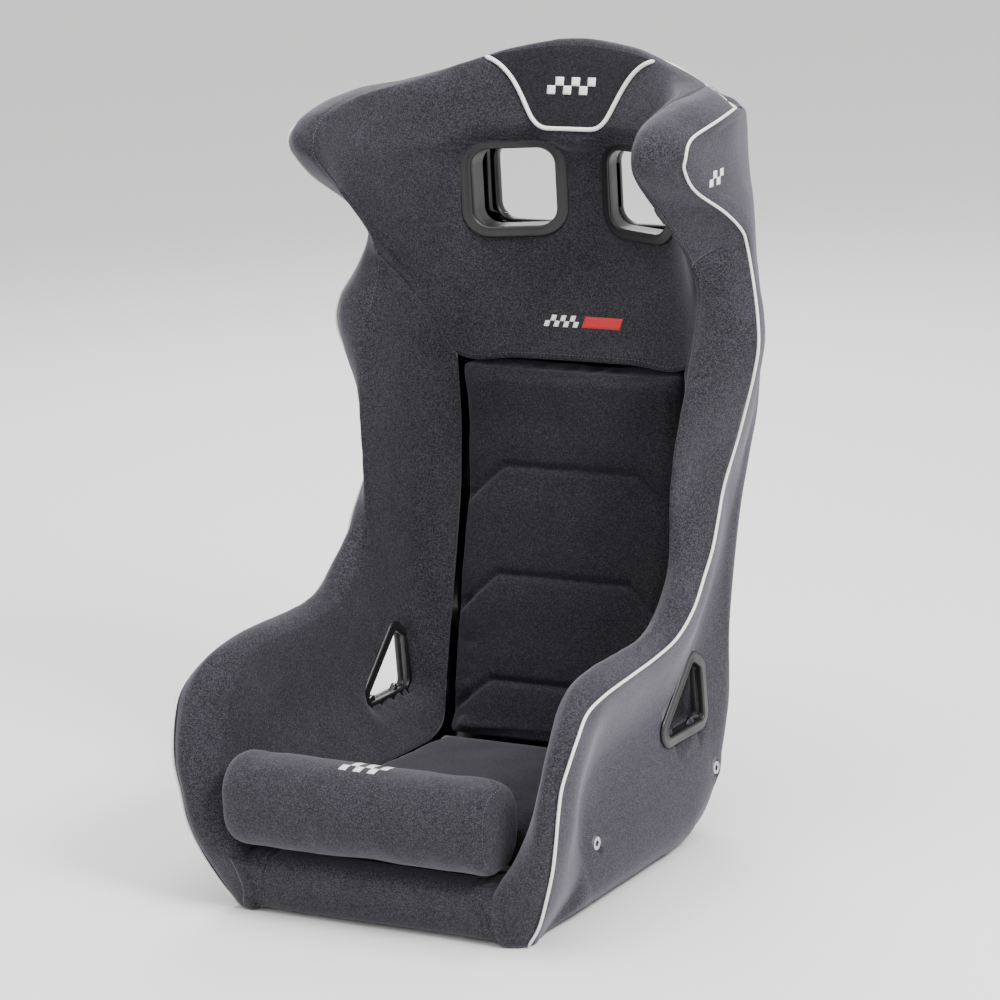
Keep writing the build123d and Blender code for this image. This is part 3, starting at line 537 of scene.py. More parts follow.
def turnedSteel(name):
    # Zinc plated steel, turned on a lathe; the faint rings are not modelled, only a slightly
    # mottled plating.
    material, tree, shader, place = startMaterial(name, {
        "Metallic": 1.0, "Roughness": 0.34, "Base Color": linear("#C9CBCF")})
    plating = addNode(tree, "ShaderNodeTexNoise", inputs={
        "Scale": 1 / (2.5 * mm), "Detail": 3.0}, links={"Vector": place})
    tree.links.new(rampBetween(tree, plating.outputs["Fac"], [
        (0.3, "#9EA1A6"), (0.7, "#D6D8DB")]), shader.inputs["Base Color"])
    relieved = addNode(tree, "ShaderNodeBump", inputs={"Strength": 0.15, "Distance": 0.1 * mm},
                       links={"Height": plating.outputs["Fac"]})
    tree.links.new(relieved.outputs[0], shader.inputs["Normal"])
    return material


coverKnit = heatherKnit("heatherKnitCharcoal", "#141317", "#262429", "#403E46", 0.3,
                       grainMm=0.95)
# painted shade: a darker copy of the cover knit, the same fabric, for the inner walls of the
# bolsters and head wings and for the pad under the cushions
innerKnitPaintedShade = heatherKnit("heatherKnitInner", "#131216", "#242227", "#3D3B42", 0.22,
                       grainMm=0.95)
# painted shade: a darker copy of the cover knit, the same fabric, for the back and seat cushions
cushionKnitPaintedShade = heatherKnit("heatherKnitCushion", "#0F0E11", "#1C1B1F", "#303036", 0.18,
                         grainMm=0.95)
badgeKnit = heatherKnit("heatherKnitBadge", "#0C0C0F", "#161519", "#29282C", 0.14,
                       grainMm=0.95)
pipingVinyl = mouldedPlastic("pipingVinylWhite", "#E9E8E4", 0.42, 0.8)
bezelAbs = mouldedPlastic("mouldedAbsBlack", "#131314", 0.42, 0.6)
gelcoatBlack = mouldedPlastic("gelcoatBlack", "#0A0A0B", 0.2, 4.0, coat=0.6, relief=0.05)
seamThread = twistedThread("bondedThreadGrey", "#3C3B43")
whiteThread = twistedThread("embroideryThreadWhite", "#E6E5E2")
redThread = twistedThread("embroideryThreadRed", "#B3141B")
hookTape = heatherKnit("wovenHookTape", "#060607", "#101012", "#1C1C1F", 0.1, grainMm=2.0)
loopTape = heatherKnit("brushedLoopTape", "#0A0A0B", "#17171A", "#29292D", 0.5, grainMm=1.6)
insertSteel = turnedSteel("zincPlatedSteel")
print("materials ready")

# ---- slots and bezels ---------------------------------------------------------------
shoulderSlot = {"x": 82, "z": 733, "opening": 92, "flange": 14, "radius": 20, "tilt": 22,
                "flat": 8}
lapSlot = {"corners": [(-5, 136), (104, 238), (136, 216), (140, 134)], "flange": 13,
           "radius": 7, "plane": hip - 10}


def squareCorners(x, z, size):
    half = size / 2
    return [(x - half, z - half), (x - half, z + half), (x + half, z + half),
            (x + half, z - half)]


def insetCorners(corners, distance):  # the same outline with its sides moved inwards
    centre = sum((Vector(c) for c in corners), Vector((0, 0))) / len(corners)
    lines = []
    for a, b in zip(corners, corners[1:] + corners[:1]):
        a, b = Vector(a), Vector(b)
        normal = Vector(((b - a).y, -(b - a).x)).normalized()
        if normal.dot(centre - a) < 0:
            normal = -normal
        lines.append((a + normal * distance, (b - a).normalized()))
    moved = []
    for (p, u), (q, v) in zip(lines[-1:] + lines[:-1], lines):
        t = ((q - p).x * v.y - (q - p).y * v.x) / (u.x * v.y - u.y * v.x)
        moved.append(tuple(p + u * t))
    return moved


lapSlot["opening"] = insetCorners(lapSlot["corners"], lapSlot["flange"])
slotOpening = squareCorners(shoulderSlot["x"], shoulderSlot["z"], shoulderSlot["opening"])


def flattenFor(grid, corners, radius, reach, axes, target):
    # presses the padding to a bezel's plane: full inside the outline, fading over reach
    a, b, c = axes
    points = grid.reshape(-1, 3).copy()
    share = np.zeros(len(points))
    for step in range(9):
        grow = reach * (1 - step / 8)
        inside = insideOutline(points[:, [a, b]], corners, radius, grow)
        value = (step / 8) ** 2 * (3 - 2 * step / 8)
        share = np.where(inside, np.maximum(share, value), share)
    points[:, c] += share * (target(points) - points[:, c])
    return points.reshape(grid.shape)


# ---- covers of the sides and the head ----------------------------------------------
trim = {"grooveFromPiping": 3.4, "grooveDepth": 1.5, "grooveWidth": 1.9,
        "crestSeamDepth": 1.3, "crestSeamWidth": 2.6, "cover": 2.5, "unevenness": 1.3}


def dressInner(grid, kind, outward, first, last):
    # sews the channel beside the piping and the seam along the crest into a padded cover
    normal = gridNormals(grid, outward)
    run = alongRows(grid)
    depth = trim["grooveDepth"] * bump(run - trim["grooveFromPiping"], trim["grooveWidth"])
    crest = columnOf(kind, "crest")
    rows = np.linspace(first, last, len(grid))[:, None]
    sewn = np.clip((rows - 24) / 2, 0, 1)
    depth += sewn * trim["crestSeamDepth"] * bump(run - run[:, crest:crest + 1],
                                                  trim["crestSeamWidth"])
    if kind == "head":
        back = run[:, -1:] - run
        depth += trim["grooveDepth"] * bump(back - trim["grooveFromPiping"],
                                            trim["grooveWidth"])
        depth += trim["crestSeamDepth"] * bump(back - back[:, -1 - crest:-crest or None],
                                               trim["crestSeamWidth"])
    relief = wrinkles(grid, 55, 3.1, (1, 1, 1)) * trim["unevenness"]
    relief += wrinkles(grid, 17, 8.4, (1, 1, 1)) * 0.35 * trim["unevenness"]
    return grid + normal * (relief - depth)[:, :, None]


innerRaw = ribSurface("inner", 0, ribs["headSeam"])
headRaw = ribSurface("head", ribs["headSeam"], ribs["last"], whole=True)
outerRaw = ribSurface("outer", 0, ribs["last"], whole=True)

# the bezels' planes: the shoulder ones are turned to follow the wrap of the back
headSurface = surfaceTree(headRaw)
slotFaceY = landOn(headSurface, [(shoulderSlot["x"], 0, shoulderSlot["z"])],
                   (0, 1, 0))[0][1] - 2
slotSlope = -math.tan(math.radians(shoulderSlot["tilt"]))


def slotPlaneY(points):
    return slotFaceY + (np.abs(points[:, 0]) - shoulderSlot["x"]) * slotSlope


def mirroredCorners(corners):
    return [(-a, b) for a, b in corners]


headGrid = dressInner(headRaw, "head", (0, -1, 0), ribs["headSeam"], ribs["last"])
seamDistance = np.linalg.norm(headGrid - headGrid[:1], axis=2)
headNormal = gridNormals(headGrid, (0, -1, 0))
headGrid = headGrid - headNormal * (1.8 * bump(seamDistance, 4))[:, :, None]
for corners in (slotOpening, mirroredCorners(slotOpening)):
    headGrid = flattenFor(headGrid, corners, shoulderSlot["radius"],
                          shoulderSlot["flange"] + shoulderSlot["flat"] + 14, (0, 2, 1),
                          slotPlaneY)


def clearOfShoulderSlots(centres):
    side = np.stack([np.abs(centres[:, 0]), centres[:, 2]], axis=1)
    return ~insideOutline(side, slotOpening, shoulderSlot["radius"], 8)


headSpan = headGrid.shape[1] - 1
headCrest = columnOf("head", "crest")
# the faces between the crests take the darker knit: painted shade on the inner walls of the head
# wings
headCover = sheetPiece("headCover", headGrid, (0, -1, 0), trim["cover"],
                       [coverKnit, innerKnitPaintedShade], clearOfShoulderSlots,
                       lambda centres, j: (j >= headCrest) & (j < headSpan - headCrest))
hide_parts("head_wing_pad_left", "head_wing_pad_right", "upper_back_pad")

innerGrid = dressInner(innerRaw, "inner", (-1, -1, 0), 0, ribs["headSeam"])
seamDistance = np.linalg.norm(innerGrid - innerGrid[-1:], axis=2)
innerNormal = gridNormals(innerGrid, (-1, -1, 0))
innerGrid = innerGrid - innerNormal * (1.8 * bump(seamDistance, 4))[:, :, None]
innerGrid = flattenFor(innerGrid, lapSlot["opening"], lapSlot["radius"],
                       lapSlot["flange"] + 12, (1, 2, 0),
                       lambda points: np.where(points[:, 0] > 140, lapSlot["plane"],
                                               points[:, 0]))


def clearOfLapSlot(centres):
    inside = insideOutline(centres[:, 1:], lapSlot["opening"], lapSlot["radius"], 5)
    return ~inside | (np.abs(centres[:, 0]) < 150)


innerCrest = columnOf("inner", "crest")
for side, name in ((1, "right"), (-1, "left")):
    grid = innerGrid if side > 0 else mirrored(innerGrid)
    # the faces inside the crest take the darker knit: painted shade on the inner wall of the
    # bolster
    bolster = sheetPiece(f"sideBolster_{name}", grid, (-side, -1, 0), trim["cover"],
                         [coverKnit, innerKnitPaintedShade], clearOfLapSlot,
                         lambda centres, j: j >= innerCrest)
    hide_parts(f"side_bolster_{name}")
print("padded covers ready")

# ---- outer side covers and the shell -------------------------------------------------
outerSeam = {"grooveFromPiping": 3.4, "depth": 1.5, "width": 1.9}
cornerColumn, flankColumn = columnOf("outer", "corner"), columnOf("outer", "flank")
inserts = {"places": [(-133, 78), (157, 78)], "radius": 7.45, "flat": 12, "fade": 12}
for y, z in inserts["places"]:
    away = np.hypot(outerRaw[:, :, 1] - y, outerRaw[:, :, 2] - z)
    near = np.clip((inserts["flat"] + inserts["fade"] - away) / inserts["fade"], 0, 1)
    near = near * near * (3 - 2 * near) * (np.abs(outerRaw[:, :, 0]) > 150)
    outerRaw[:, :, 0] += near * (np.sign(outerRaw[:, :, 0]) * (hip - 0.8) - outerRaw[:, :, 0])
outerSpan = outerRaw.shape[1] - 1
outerNormal = gridNormals(outerRaw, (0, 1, -0.2))
outerRun = alongRows(outerRaw)
outerBack = outerRun[:, -1:] - outerRun
relief = wrinkles(outerRaw, 60, 5.5) * 0.5
channel = outerSeam["depth"] * (bump(outerRun - outerSeam["grooveFromPiping"],
                                     outerSeam["width"])
                                + bump(outerBack - outerSeam["grooveFromPiping"],
                                       outerSeam["width"]))
rightHalf = outerRaw[:, :outerSpan // 2 + 1]
rightNormal = outerNormal[:, :outerSpan // 2 + 1]
outerGrid = rightHalf + rightNormal * (relief - channel)[:, :outerSpan // 2 + 1, None]


def bakeModifiers(piece):
    graph = bpy.context.evaluated_depsgraph_get()
    baked = bpy.data.meshes.new_from_object(piece.evaluated_get(graph))
    baked.polygons.foreach_set("use_smooth", [True] * len(baked.polygons))
    old, piece.data = piece.data, baked
    piece.modifiers.clear()
    name = old.name
    bpy.data.meshes.remove(old)
    baked.name = name


def drillInserts(piece):
    # the holes that the threaded inserts sit in
    cutter = bmesh.new()
    for side in (1, -1):
        for y, z in inserts["places"]:
            place = (Matrix.Translation(Vector((side * hip, y, z)) * mm)
                     @ Matrix.Rotation(math.pi / 2, 4, "Y"))
            bmesh.ops.create_cone(cutter, cap_ends=True, segments=40, depth=30 * mm,
                                  radius1=inserts["radius"] * mm,
                                  radius2=inserts["radius"] * mm, matrix=place)
    mesh = bpy.data.meshes.new("insertDrill")
    cutter.to_mesh(mesh)
    cutter.free()
    drill = bpy.data.objects.new("insertDrill", mesh)
    bpy.context.scene.collection.objects.link(drill)
    cut = piece.modifiers.new("insertHoles", "BOOLEAN")
    cut.operation, cut.solver, cut.object = "DIFFERENCE", "EXACT", drill
    bakeModifiers(piece)
    bpy.data.objects.remove(drill)


def clearOfSideHoles(centres):
    side = np.stack([centres[:, 1], centres[:, 2]], axis=1)
    blocked = insideOutline(side, lapSlot["opening"], lapSlot["radius"], 5)
    return ~blocked | (np.abs(centres[:, 0]) < 150)


hemColumn = cornerColumn + 4
for side, name in ((1, "right"), (-1, "left")):
    grid = outerGrid[:, :hemColumn + 1]
    grid = grid if side > 0 else mirrored(grid)
    cover = sheetPiece(f"outerCover_{name}", grid, (side, 0.3, 0), trim["cover"], [coverKnit],
                       clearOfSideHoles)
    drillInserts(cover)
    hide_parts(f"outer_side_cover_{name}")

shellGrid = outerRaw - outerNormal * (trim["cover"] * 0.9)
flat = (np.arange(outerSpan + 1) > hemColumn + 1) & (
    np.arange(outerSpan + 1) < outerSpan - hemColumn - 1)
shellGrid = np.where(flat[None, :, None], outerRaw, shellGrid)
shellGrid[:, :, 2] = np.maximum(shellGrid[:, :, 2], 0)


def clearOfShell(centres):
    crotch = (np.abs(centres[:, 0]) < 61) & (np.abs(centres[:, 1] + 158) < 18) & (
        centres[:, 2] < 40)
    across = np.stack([np.abs(centres[:, 0]), centres[:, 2]], axis=1)
    slots = insideOutline(across, slotOpening, shoulderSlot["radius"], 5) & (
        centres[:, 1] > 150)
    return clearOfSideHoles(centres) & ~crotch & ~slots


shellBody = sheetPiece("shellBody", shellGrid[:, flankColumn - 3:outerSpan - flankColumn + 4],
                       (0, 1, -0.2), 4.5, [gelcoatBlack], clearOfShell)
drillInserts(shellBody)
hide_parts(*[node for node in frame["nodes"] if node.startswith("shell_")
                         or node == "shell"])
print("outer skin ready")

# ---- piping ---------------------------------------------------------------------------
pipingSize = {"radius": 1.75, "badgeRadius": 2.6}
line = guideLine("piping", np.linspace(0, ribs["last"], 400))
crownLine = np.array([[name[1], name[2], name[3]] for name in
                      [guides[g][-1] for g in ("brow", "crest", "wall", "seam", "quarter",
                                               "middle")]], float)
crownKnots = np.arange(len(crownLine), dtype=float)
crownPath = cubicThrough(crownKnots, crownLine, np.linspace(0, len(crownLine) - 1, 60))
line = evenly(np.concatenate([line, crownPath]), 5)
for side, name in ((1, "right"), (-1, "left")):
    path = line.copy()
    path[:, 0] = np.maximum(path[:, 0], 1.0)
    bead = tubePiece(f"sidePiping_{name}", path if side > 0 else mirrored(path),
                     pipingSize["radius"], pipingVinyl)
    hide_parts(f"side_piping_{name}")

# ---- badge panel ---------------------------------------------------------------------
badge = {"edge": [(34, 800.5), (40, 803), (46, 808), (51, 815), (57, 827), (64, 841),
                  (72, 855), (81, 868), (91, 878), (101, 885), (112, 889)],
         "proud": 2.2, "columns": 44, "below": 2.5}
headSurface = surfaceTree(headGrid)
sideEdge = evenly([(x, 0, z) for x, z in badge["edge"]], 2.5)
ridge = headGrid[np.argmax(headGrid[:, :, 2], axis=0), np.arange(headGrid.shape[1])]
ridge = ridge[np.argsort(ridge[:, 0])]
badgeRows = []
for k, (x, _, z) in enumerate(sideEdge):
    share = (k / (len(sideEdge) - 1)) ** 1.6
    across = np.linspace(-1, 1, badge["columns"] + 1)
    crown = np.interp(sideEdge[-1][0] * across, ridge[:, 0], ridge[:, 2]) - badge["below"]
    row = [(x * a, 262, z + (top - sideEdge[-1][2]) * share) for a, top in zip(across, crown)]
    badgeRows.append(landOn(headSurface, row, (0, 1, -0.3)))
badgeGrid = np.array(badgeRows)
rowShare = np.linspace(0, 1, len(badgeGrid))[:, None]
acrossShare = np.abs(np.linspace(-1, 1, badge["columns"] + 1))[None, :]
rise = badge["proud"] * (1 - acrossShare ** 8) * (1 - (1 - rowShare) ** 12)
badgeGrid[:, :, 1] -= 0.6 + rise
badgePanel = sheetPiece("badgePanel", badgeGrid, (0, -1, 0), 3.0, [badgeKnit])
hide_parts("head_badge_panel")
rightEdge = badgeGrid[::-1, -1]
lowEdge = badgeGrid[0, ::-1]
leftEdge = badgeGrid[:, 0]
badgePath = evenly(np.concatenate([rightEdge[:-1], lowEdge, leftEdge[1:]]), 4)
for _ in range(3):
    badgePath[1:-1] = (badgePath[:-2] + badgePath[1:-1] * 2 + badgePath[2:]) / 4
badgePath[:, 1] -= 1.2
badgeBead = tubePiece("badgePiping", badgePath, pipingSize["badgeRadius"], pipingVinyl)
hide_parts("badge_piping")
print("piping and badge ready")

# ---- bezels ---------------------------------------------------------------------------
for side, name in ((1, "right"), (-1, "left")):
    def frontPlace(x, z, height, side=side):
        offset = (x - shoulderSlot["x"])
        return (side * x, slotFaceY + offset * slotSlope - height, z)

    front = bezelPiece(f"shoulderBezelFront_{name}", slotOpening, shoulderSlot["radius"],
                       frontPlace, shoulderSlot["flange"], 4.5, 24, 2.4, bezelAbs)
    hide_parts(f"shoulder_bezel_front_{name}")

    def rearPlace(x, z, height, side=side):
        return (side * x, 300.5 + height, z)

    rear = bezelPiece(f"shoulderBezelRear_{name}", slotOpening, shoulderSlot["radius"],
                      rearPlace, 13, 3.2, 12, 2.4, bezelAbs)
    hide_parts(f"shoulder_bezel_rear_{name}")

    def lapInside(y, z, height, side=side):
        return (side * (lapSlot["plane"] - height), y, z)

    def lapOutside(y, z, height, side=side):
        return (side * (hip + height), y, z)

    inside = bezelPiece(f"lapBezelInner_{name}", lapSlot["opening"], lapSlot["radius"],
                        lapInside, lapSlot["flange"], 3.6, 7, 2.2, bezelAbs)
    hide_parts(f"lap_bezel_inner_{name}")
    outside = bezelPiece(f"lapBezelOuter_{name}", lapSlot["opening"], lapSlot["radius"],
                         lapOutside, lapSlot["flange"], 3.8, 6, 2.2, bezelAbs)
    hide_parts(f"lap_bezel_outer_{name}")

crotchBox = [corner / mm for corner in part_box("crotch_slot_bezel")]
crotchTop = crotchBox[1][2]
crotch = {"x": 56, "y": 15.5, "centre": -158, "radius": 9}
crotchCorners = [(-crotch["x"], crotch["centre"] - crotch["y"]),
                 (-crotch["x"], crotch["centre"] + crotch["y"]),
                 (crotch["x"], crotch["centre"] + crotch["y"]),
                 (crotch["x"], crotch["centre"] - crotch["y"])]
crotchBezel = bezelPiece("crotchSlotBezel", crotchCorners, crotch["radius"],
                         lambda x, y, height: (x, y, crotchTop - 2 + height), 9, 2.4,
                         crotchTop - 3, 2.2, bezelAbs)
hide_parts("crotch_slot_bezel")
print("bezels ready")

# ---- padded cushions -------------------------------------------------------------------
padSim = {"voxelMm": 5, "pressure": 4.0, "frames": 20}


def inflate(piece, cap):
    # remeshes a pad, lets air pressure swell its cover, and holds every point within a cap
    remesh = piece.modifiers.new("remesh", "REMESH")
    remesh.mode = "VOXEL"
    remesh.voxel_size = padSim["voxelMm"] * mm
    remesh.use_smooth_shade = True
    bakeModifiers(piece)
    start = np.array([v.co[:] for v in piece.data.vertices])
    cloth = piece.modifiers.new("cloth", "CLOTH")
    cloth.settings.use_pressure = True
    cloth.settings.uniform_pressure_force = padSim["pressure"]
    cloth.settings.quality = 4
    cloth.settings.effector_weights.gravity = 0
    cloth.collision_settings.use_collision = False
    cloth.point_cache.frame_end = padSim["frames"]
    for frameNumber in range(1, padSim["frames"] + 1):
        bpy.context.scene.frame_set(frameNumber)
    graph = bpy.context.evaluated_depsgraph_get()
    swollen = bpy.data.meshes.new_from_object(piece.evaluated_get(graph))
    end = np.array([v.co[:] for v in swollen.vertices])
    piece.modifiers.remove(cloth)
    bpy.data.meshes.remove(swollen)
    bpy.context.scene.frame_set(1)
    move = end - start
    size = np.linalg.norm(move, axis=1, keepdims=True)
    move *= np.minimum(1, cap * mm / np.maximum(size, 1e-9))
    piece.data.vertices.foreach_set("co", (start + move).ravel())
    piece.data.update()


def reshape(piece, change):
    # moves every point by change(points, normals), all in mm
    count = len(piece.data.vertices)
    points = np.empty(count * 3)
    piece.data.vertices.foreach_get("co", points)
    normals = np.empty(count * 3)
    piece.data.vertices.foreach_get("normal", normals)
    points = points.reshape(-1, 3) / mm
    points = change(points, normals.reshape(-1, 3))
    piece.data.vertices.foreach_set("co", (points * mm).ravel())
    piece.data.update()


def refine(piece):
    finer = piece.modifiers.new("finer", "SUBSURF")
    finer.levels = finer.render_levels = 1
    bakeModifiers(piece)


def slabRing(halfX, low, high, z, corner=18, around=9):
    # ring in plan: a rounded rectangle from y low to y high
    corner = min(corner, (high - low) / 2 - 1, halfX - 1)
    outline = roundedOutline([(-halfX, low), (-halfX, high), (halfX, high), (halfX, low)],
                             corner, 0, around)
    return [(p.x, p.y, z) for p in outline]


backPad = {"half": 148.6, "crown": 2, "front": [(88, 126), (105, 141), (150, 151), (244, 172),
           (330, 197), (382, 211), (455, 218), (500, 218), (530, 218)],
           "rear": [(88, 168), (150, 206), (215, 206), (240, 203), (272, 212), (333, 236),
                    (416, 258), (471, 268), (528, 274)],
           "chevrons": [(407, 358, 89), (282, 230, 89), (159, 114, 89)], "channel": 4.2,
           "channelWidth": 4.2, "cap": 6}
levels = np.concatenate([[90, 92, 97], np.linspace(106, 512, 56), [520, 525, 527]])
shrink = np.concatenate([[14, 8, 3], np.zeros(56), [3, 8, 14]])
frontY = np.interp(levels, *np.array(backPad["front"], float).T)
rearY = np.interp(levels, *np.array(backPad["rear"], float).T)
rings = [slabRing(backPad["half"] - gap * 0.15, front + gap * 0.3, rear - gap * 0.5, z, 4)
         for z, gap, front, rear in zip(levels, shrink, frontY - 2, rearY)]
# the darker cushion knit is painted shade on the back cushion
backCushion = loopPiece("backCushion", rings, [cushionKnitPaintedShade], "back_cushion")
inflate(backCushion, backPad["cap"])
refine(backCushion)


def chevronLevel(x, chevron):  # height of a channel at x
    flat, end, half = chevron
    return flat + (end - flat) * np.clip((np.abs(x) - half) / (150 - half), 0, 1)


def sewBack(points, normals):
    x, y, z = points.T
    facing = np.clip(-normals[:, 1] * 1.6 - 0.25, 0, 1)
    depth = np.zeros(len(points))
    nearest = np.full(len(points), 1e3)
    for chevron in backPad["chevrons"]:
        slanted = np.abs(x) > chevron[2]
        gap = np.abs(z - chevronLevel(x, chevron)) * np.where(slanted, 0.78, 1)
        nearest = np.minimum(nearest, gap)
    depth = backPad["channel"] * bump(nearest, backPad["channelWidth"])
    swell = 3.5 * np.clip(nearest / 30, 0, 1) ** 0.6 + backPad["crown"] * (1 - (x / 150) ** 4)
    pull = wrinkles(points, 45, 12.5, (1, 1, 0.6)) * 0.9
    move = (swell - depth + pull - 3) * facing
    moved = points + normals * move[:, None]
    moved[:, 0] = np.clip(moved[:, 0], -150, 150)
    return moved


reshape(backCushion, sewBack)
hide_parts("back_cushion_cover", "back_cushion_foam")
print("back cushion ready")

seatPad = {"half": 146, "front": -196, "rear": 111, "low": seatBox[0][2] + 3, "cap": 5,
           "notchHalf": 82, "notchDepth": 72}
seatRings = []
for y in np.linspace(seatPad["front"], seatPad["rear"], 62):
    share = (y - seatPad["front"]) / (seatPad["rear"] - seatPad["front"])
    edge = min(y - seatPad["front"], seatPad["rear"] - y)
    gap = 9 * math.exp(-edge / 4)
    top = 106 - 15 * share
    outline = roundedOutline([(-seatPad["half"] + gap, seatPad["low"] + gap),
                              (-seatPad["half"] + gap, top - gap),
                              (seatPad["half"] - gap, top - gap),
                              (seatPad["half"] - gap, seatPad["low"] + gap)], 12, 0, 8)
    seatRings.append([(p.x, y, p.y) for p in outline])
# the darker cushion knit is painted shade on the seat cushion
seatCushion = loopPiece("seatCushion", seatRings, [cushionKnitPaintedShade], "seat_cushion")


def cutNotch(points, normals):  # leaves room for the crotch belts at the front
    x, y, z = points.T
    limit = seatPad["front"] + seatPad["notchDepth"] * np.clip(
        (seatPad["notchHalf"] - np.abs(x)) / 14, 0, 1)
    span = (y - seatPad["front"]) / (seatPad["rear"] - seatPad["front"])
    moved = points.copy()
    moved[:, 1] = limit + span * (seatPad["rear"] - limit)
    return moved


reshape(seatCushion, cutNotch)
inflate(seatCushion, seatPad["cap"])
refine(seatCushion)


def sewSeat(points, normals):
    x, y, z = points.T
    facing = np.clip(normals[:, 2] * 1.6 - 0.25, 0, 1)
    nearest = np.minimum(1e3, np.abs(150 - np.abs(x) - 10))
    move = (5 * (1 - (x / 150) ** 4) - 2.0 * bump(nearest, 3)
            + wrinkles(points, 40, 2.2) * 1.1) * facing
    moved = points + normals * move[:, None]
    moved[:, 0] = np.clip(moved[:, 0], -149, 149)
    return moved


reshape(seatCushion, sewSeat)
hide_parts("seat_cushion_cover", "seat_cushion_foam")
print("seat cushion ready")

roll = {"half": rollBox[1][0] - 5, "shift": -7, "y": -266, "z": 131, "deep": 88, "high": 104,
        "corner": 40, "capSeam": 166, "cap": 6}
rollRings = []
for x in np.concatenate([[-1, -0.993, -0.98], np.linspace(-0.965, 0.965, 66),
                         [0.98, 0.993, 1]]) * roll["half"]:
    edge = roll["half"] - abs(x)
    gap = 12 * math.exp(-edge / 4.5)
    low, high = roll["z"] - roll["high"] / 2, roll["z"] + roll["high"] / 2
    front, rear = roll["y"] - roll["deep"] / 2, roll["y"] + roll["deep"] / 2
    outline = roundedOutline([(front, low), (front, high), (rear, high), (rear, low)],
                             roll["corner"], -gap, 12)
    rollRings.append([(x + roll["shift"], p.x, p.y) for p in outline])
thighRoll = loopPiece("thighRoll", rollRings, [coverKnit], "thigh_roll")
inflate(thighRoll, roll["cap"])
refine(thighRoll)


def sewRoll(points, normals):
    x, y, z = points.T
    x = x - roll["shift"]
    around = np.clip(1 - np.abs(normals[:, 0]) * 1.2, 0, 1)
    bow = 5 * (1 - ((z - roll["z"]) / 60) ** 2 - ((y - roll["y"]) / 52) ** 2)
    depth = 2.6 * bump(np.abs(x) - roll["capSeam"], 2.6)
    nearSeam = np.clip((np.abs(x) - 110) / 50, 0, 1)
    pulls = wrinkles(points, 15, 4.4, (2.6, 0.9, 0.9)) * 1.5 * nearSeam * around
    soft = wrinkles(points, 60, 9.1) * 2.2 + wrinkles(points, 25, 2.9) * 0.7
    moved = points + normals * (pulls + soft - depth * around)[:, None]
    ends = np.clip((np.abs(x) - 150) / 25, 0, 1)
    moved[:, 0] += np.sign(x) * np.maximum(bow, 0) * ends
    moved[:, 2] = np.maximum(moved[:, 2], rollBox[0][2] + 0.5)
    moved[:, 0] = np.clip(moved[:, 0], -183, 172)
    return moved


reshape(thighRoll, sewRoll)
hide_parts("thigh_roll_cover", "thigh_roll_foam")
print("thigh roll ready")

# ---- front lip cover and the pad under the cushions ------------------------------------
apron = {"profile": [(-205, 0.5), (-240, 0.5), (-262, 1.5), (-275, 7), (-281, 18),
                     (-284, 34), (-287, 50), (-286, 61), (-280, 67), (-268, 69.5),
                     (-245, 69.8), (-214, 69.8)], "columns": 110, "rows": 60, "lap": 17,
         "seamLean": 0.28, "seamGap": 9}
profile = np.array(apron["profile"], float)
knots = np.concatenate([[0], np.cumsum(np.linalg.norm(np.diff(profile, axis=0), axis=1))])
profile = cubicThrough(knots, profile, np.linspace(0, knots[-1], apron["rows"]))
crestLine = guideLine("crest", np.linspace(0, 2, 40))
crestX = np.interp(profile[:, 1], crestLine[:, 2], crestLine[:, 0])
bolsterFront = surfaceTree(innerGrid, mirrored(innerGrid))
apronGrid = np.array([[(edge * a, y, z) for a in np.linspace(-1, 1, apron["columns"])]
                      for edge, (y, z) in zip(crestX + apron["lap"], profile)])
laid = landOn(bolsterFront, apronGrid.reshape(-1, 3), (0, 1, 0), 0.9).reshape(apronGrid.shape)
past = np.clip((np.abs(apronGrid[:, :, 0]) - crestX[:, None] + 6) / 12, 0, 1)
past = past ** 2 * (3 - 2 * past) * (apronGrid[:, :, 1] < -255) * (apronGrid[:, :, 2] < 66)
settled = np.minimum(laid[:, :, 1], apronGrid[:, :, 1] + 9)
apronGrid[:, :, 1] += past * (settled - apronGrid[:, :, 1])
apronNormal = gridNormals(apronGrid, (0, -1, 0))
outerSeamX = 158 - apron["seamLean"] * np.clip(apronGrid[:, :, 2], 0, 64)
fromSeam = outerSeamX - np.abs(apronGrid[:, :, 0])
depth = 1.7 * bump(fromSeam, 1.8) + 1.7 * bump(fromSeam - apron["seamGap"], 1.8)
depth -= 0.9 * bump(fromSeam - apron["seamGap"] / 2, 2.4)
gather = np.clip(1 - np.abs(fromSeam + 6) / 26, 0, 1) * (apronGrid[:, :, 1] < -262)
folds = wrinkles(apronGrid, 9, 6.6, (3.2, 1, 0.7)) * 2.6 * gather
soft = wrinkles(apronGrid, 60, 1.7) * 1.2 * (apronGrid[:, :, 2] > 4)
fade = np.clip((crestX[:, None] + apron["lap"] - np.abs(apronGrid[:, :, 0])) / 8, 0, 1)
apronGrid = apronGrid + apronNormal * ((folds + soft - depth) * fade)[:, :, None]
apronGrid[:, :, 2] = np.clip(apronGrid[:, :, 2], 0.2, 71.5)
apronCover = sheetPiece("apronCover", apronGrid, (0, -1, 0), 2.2, [coverKnit])
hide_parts("front_apron_cover")

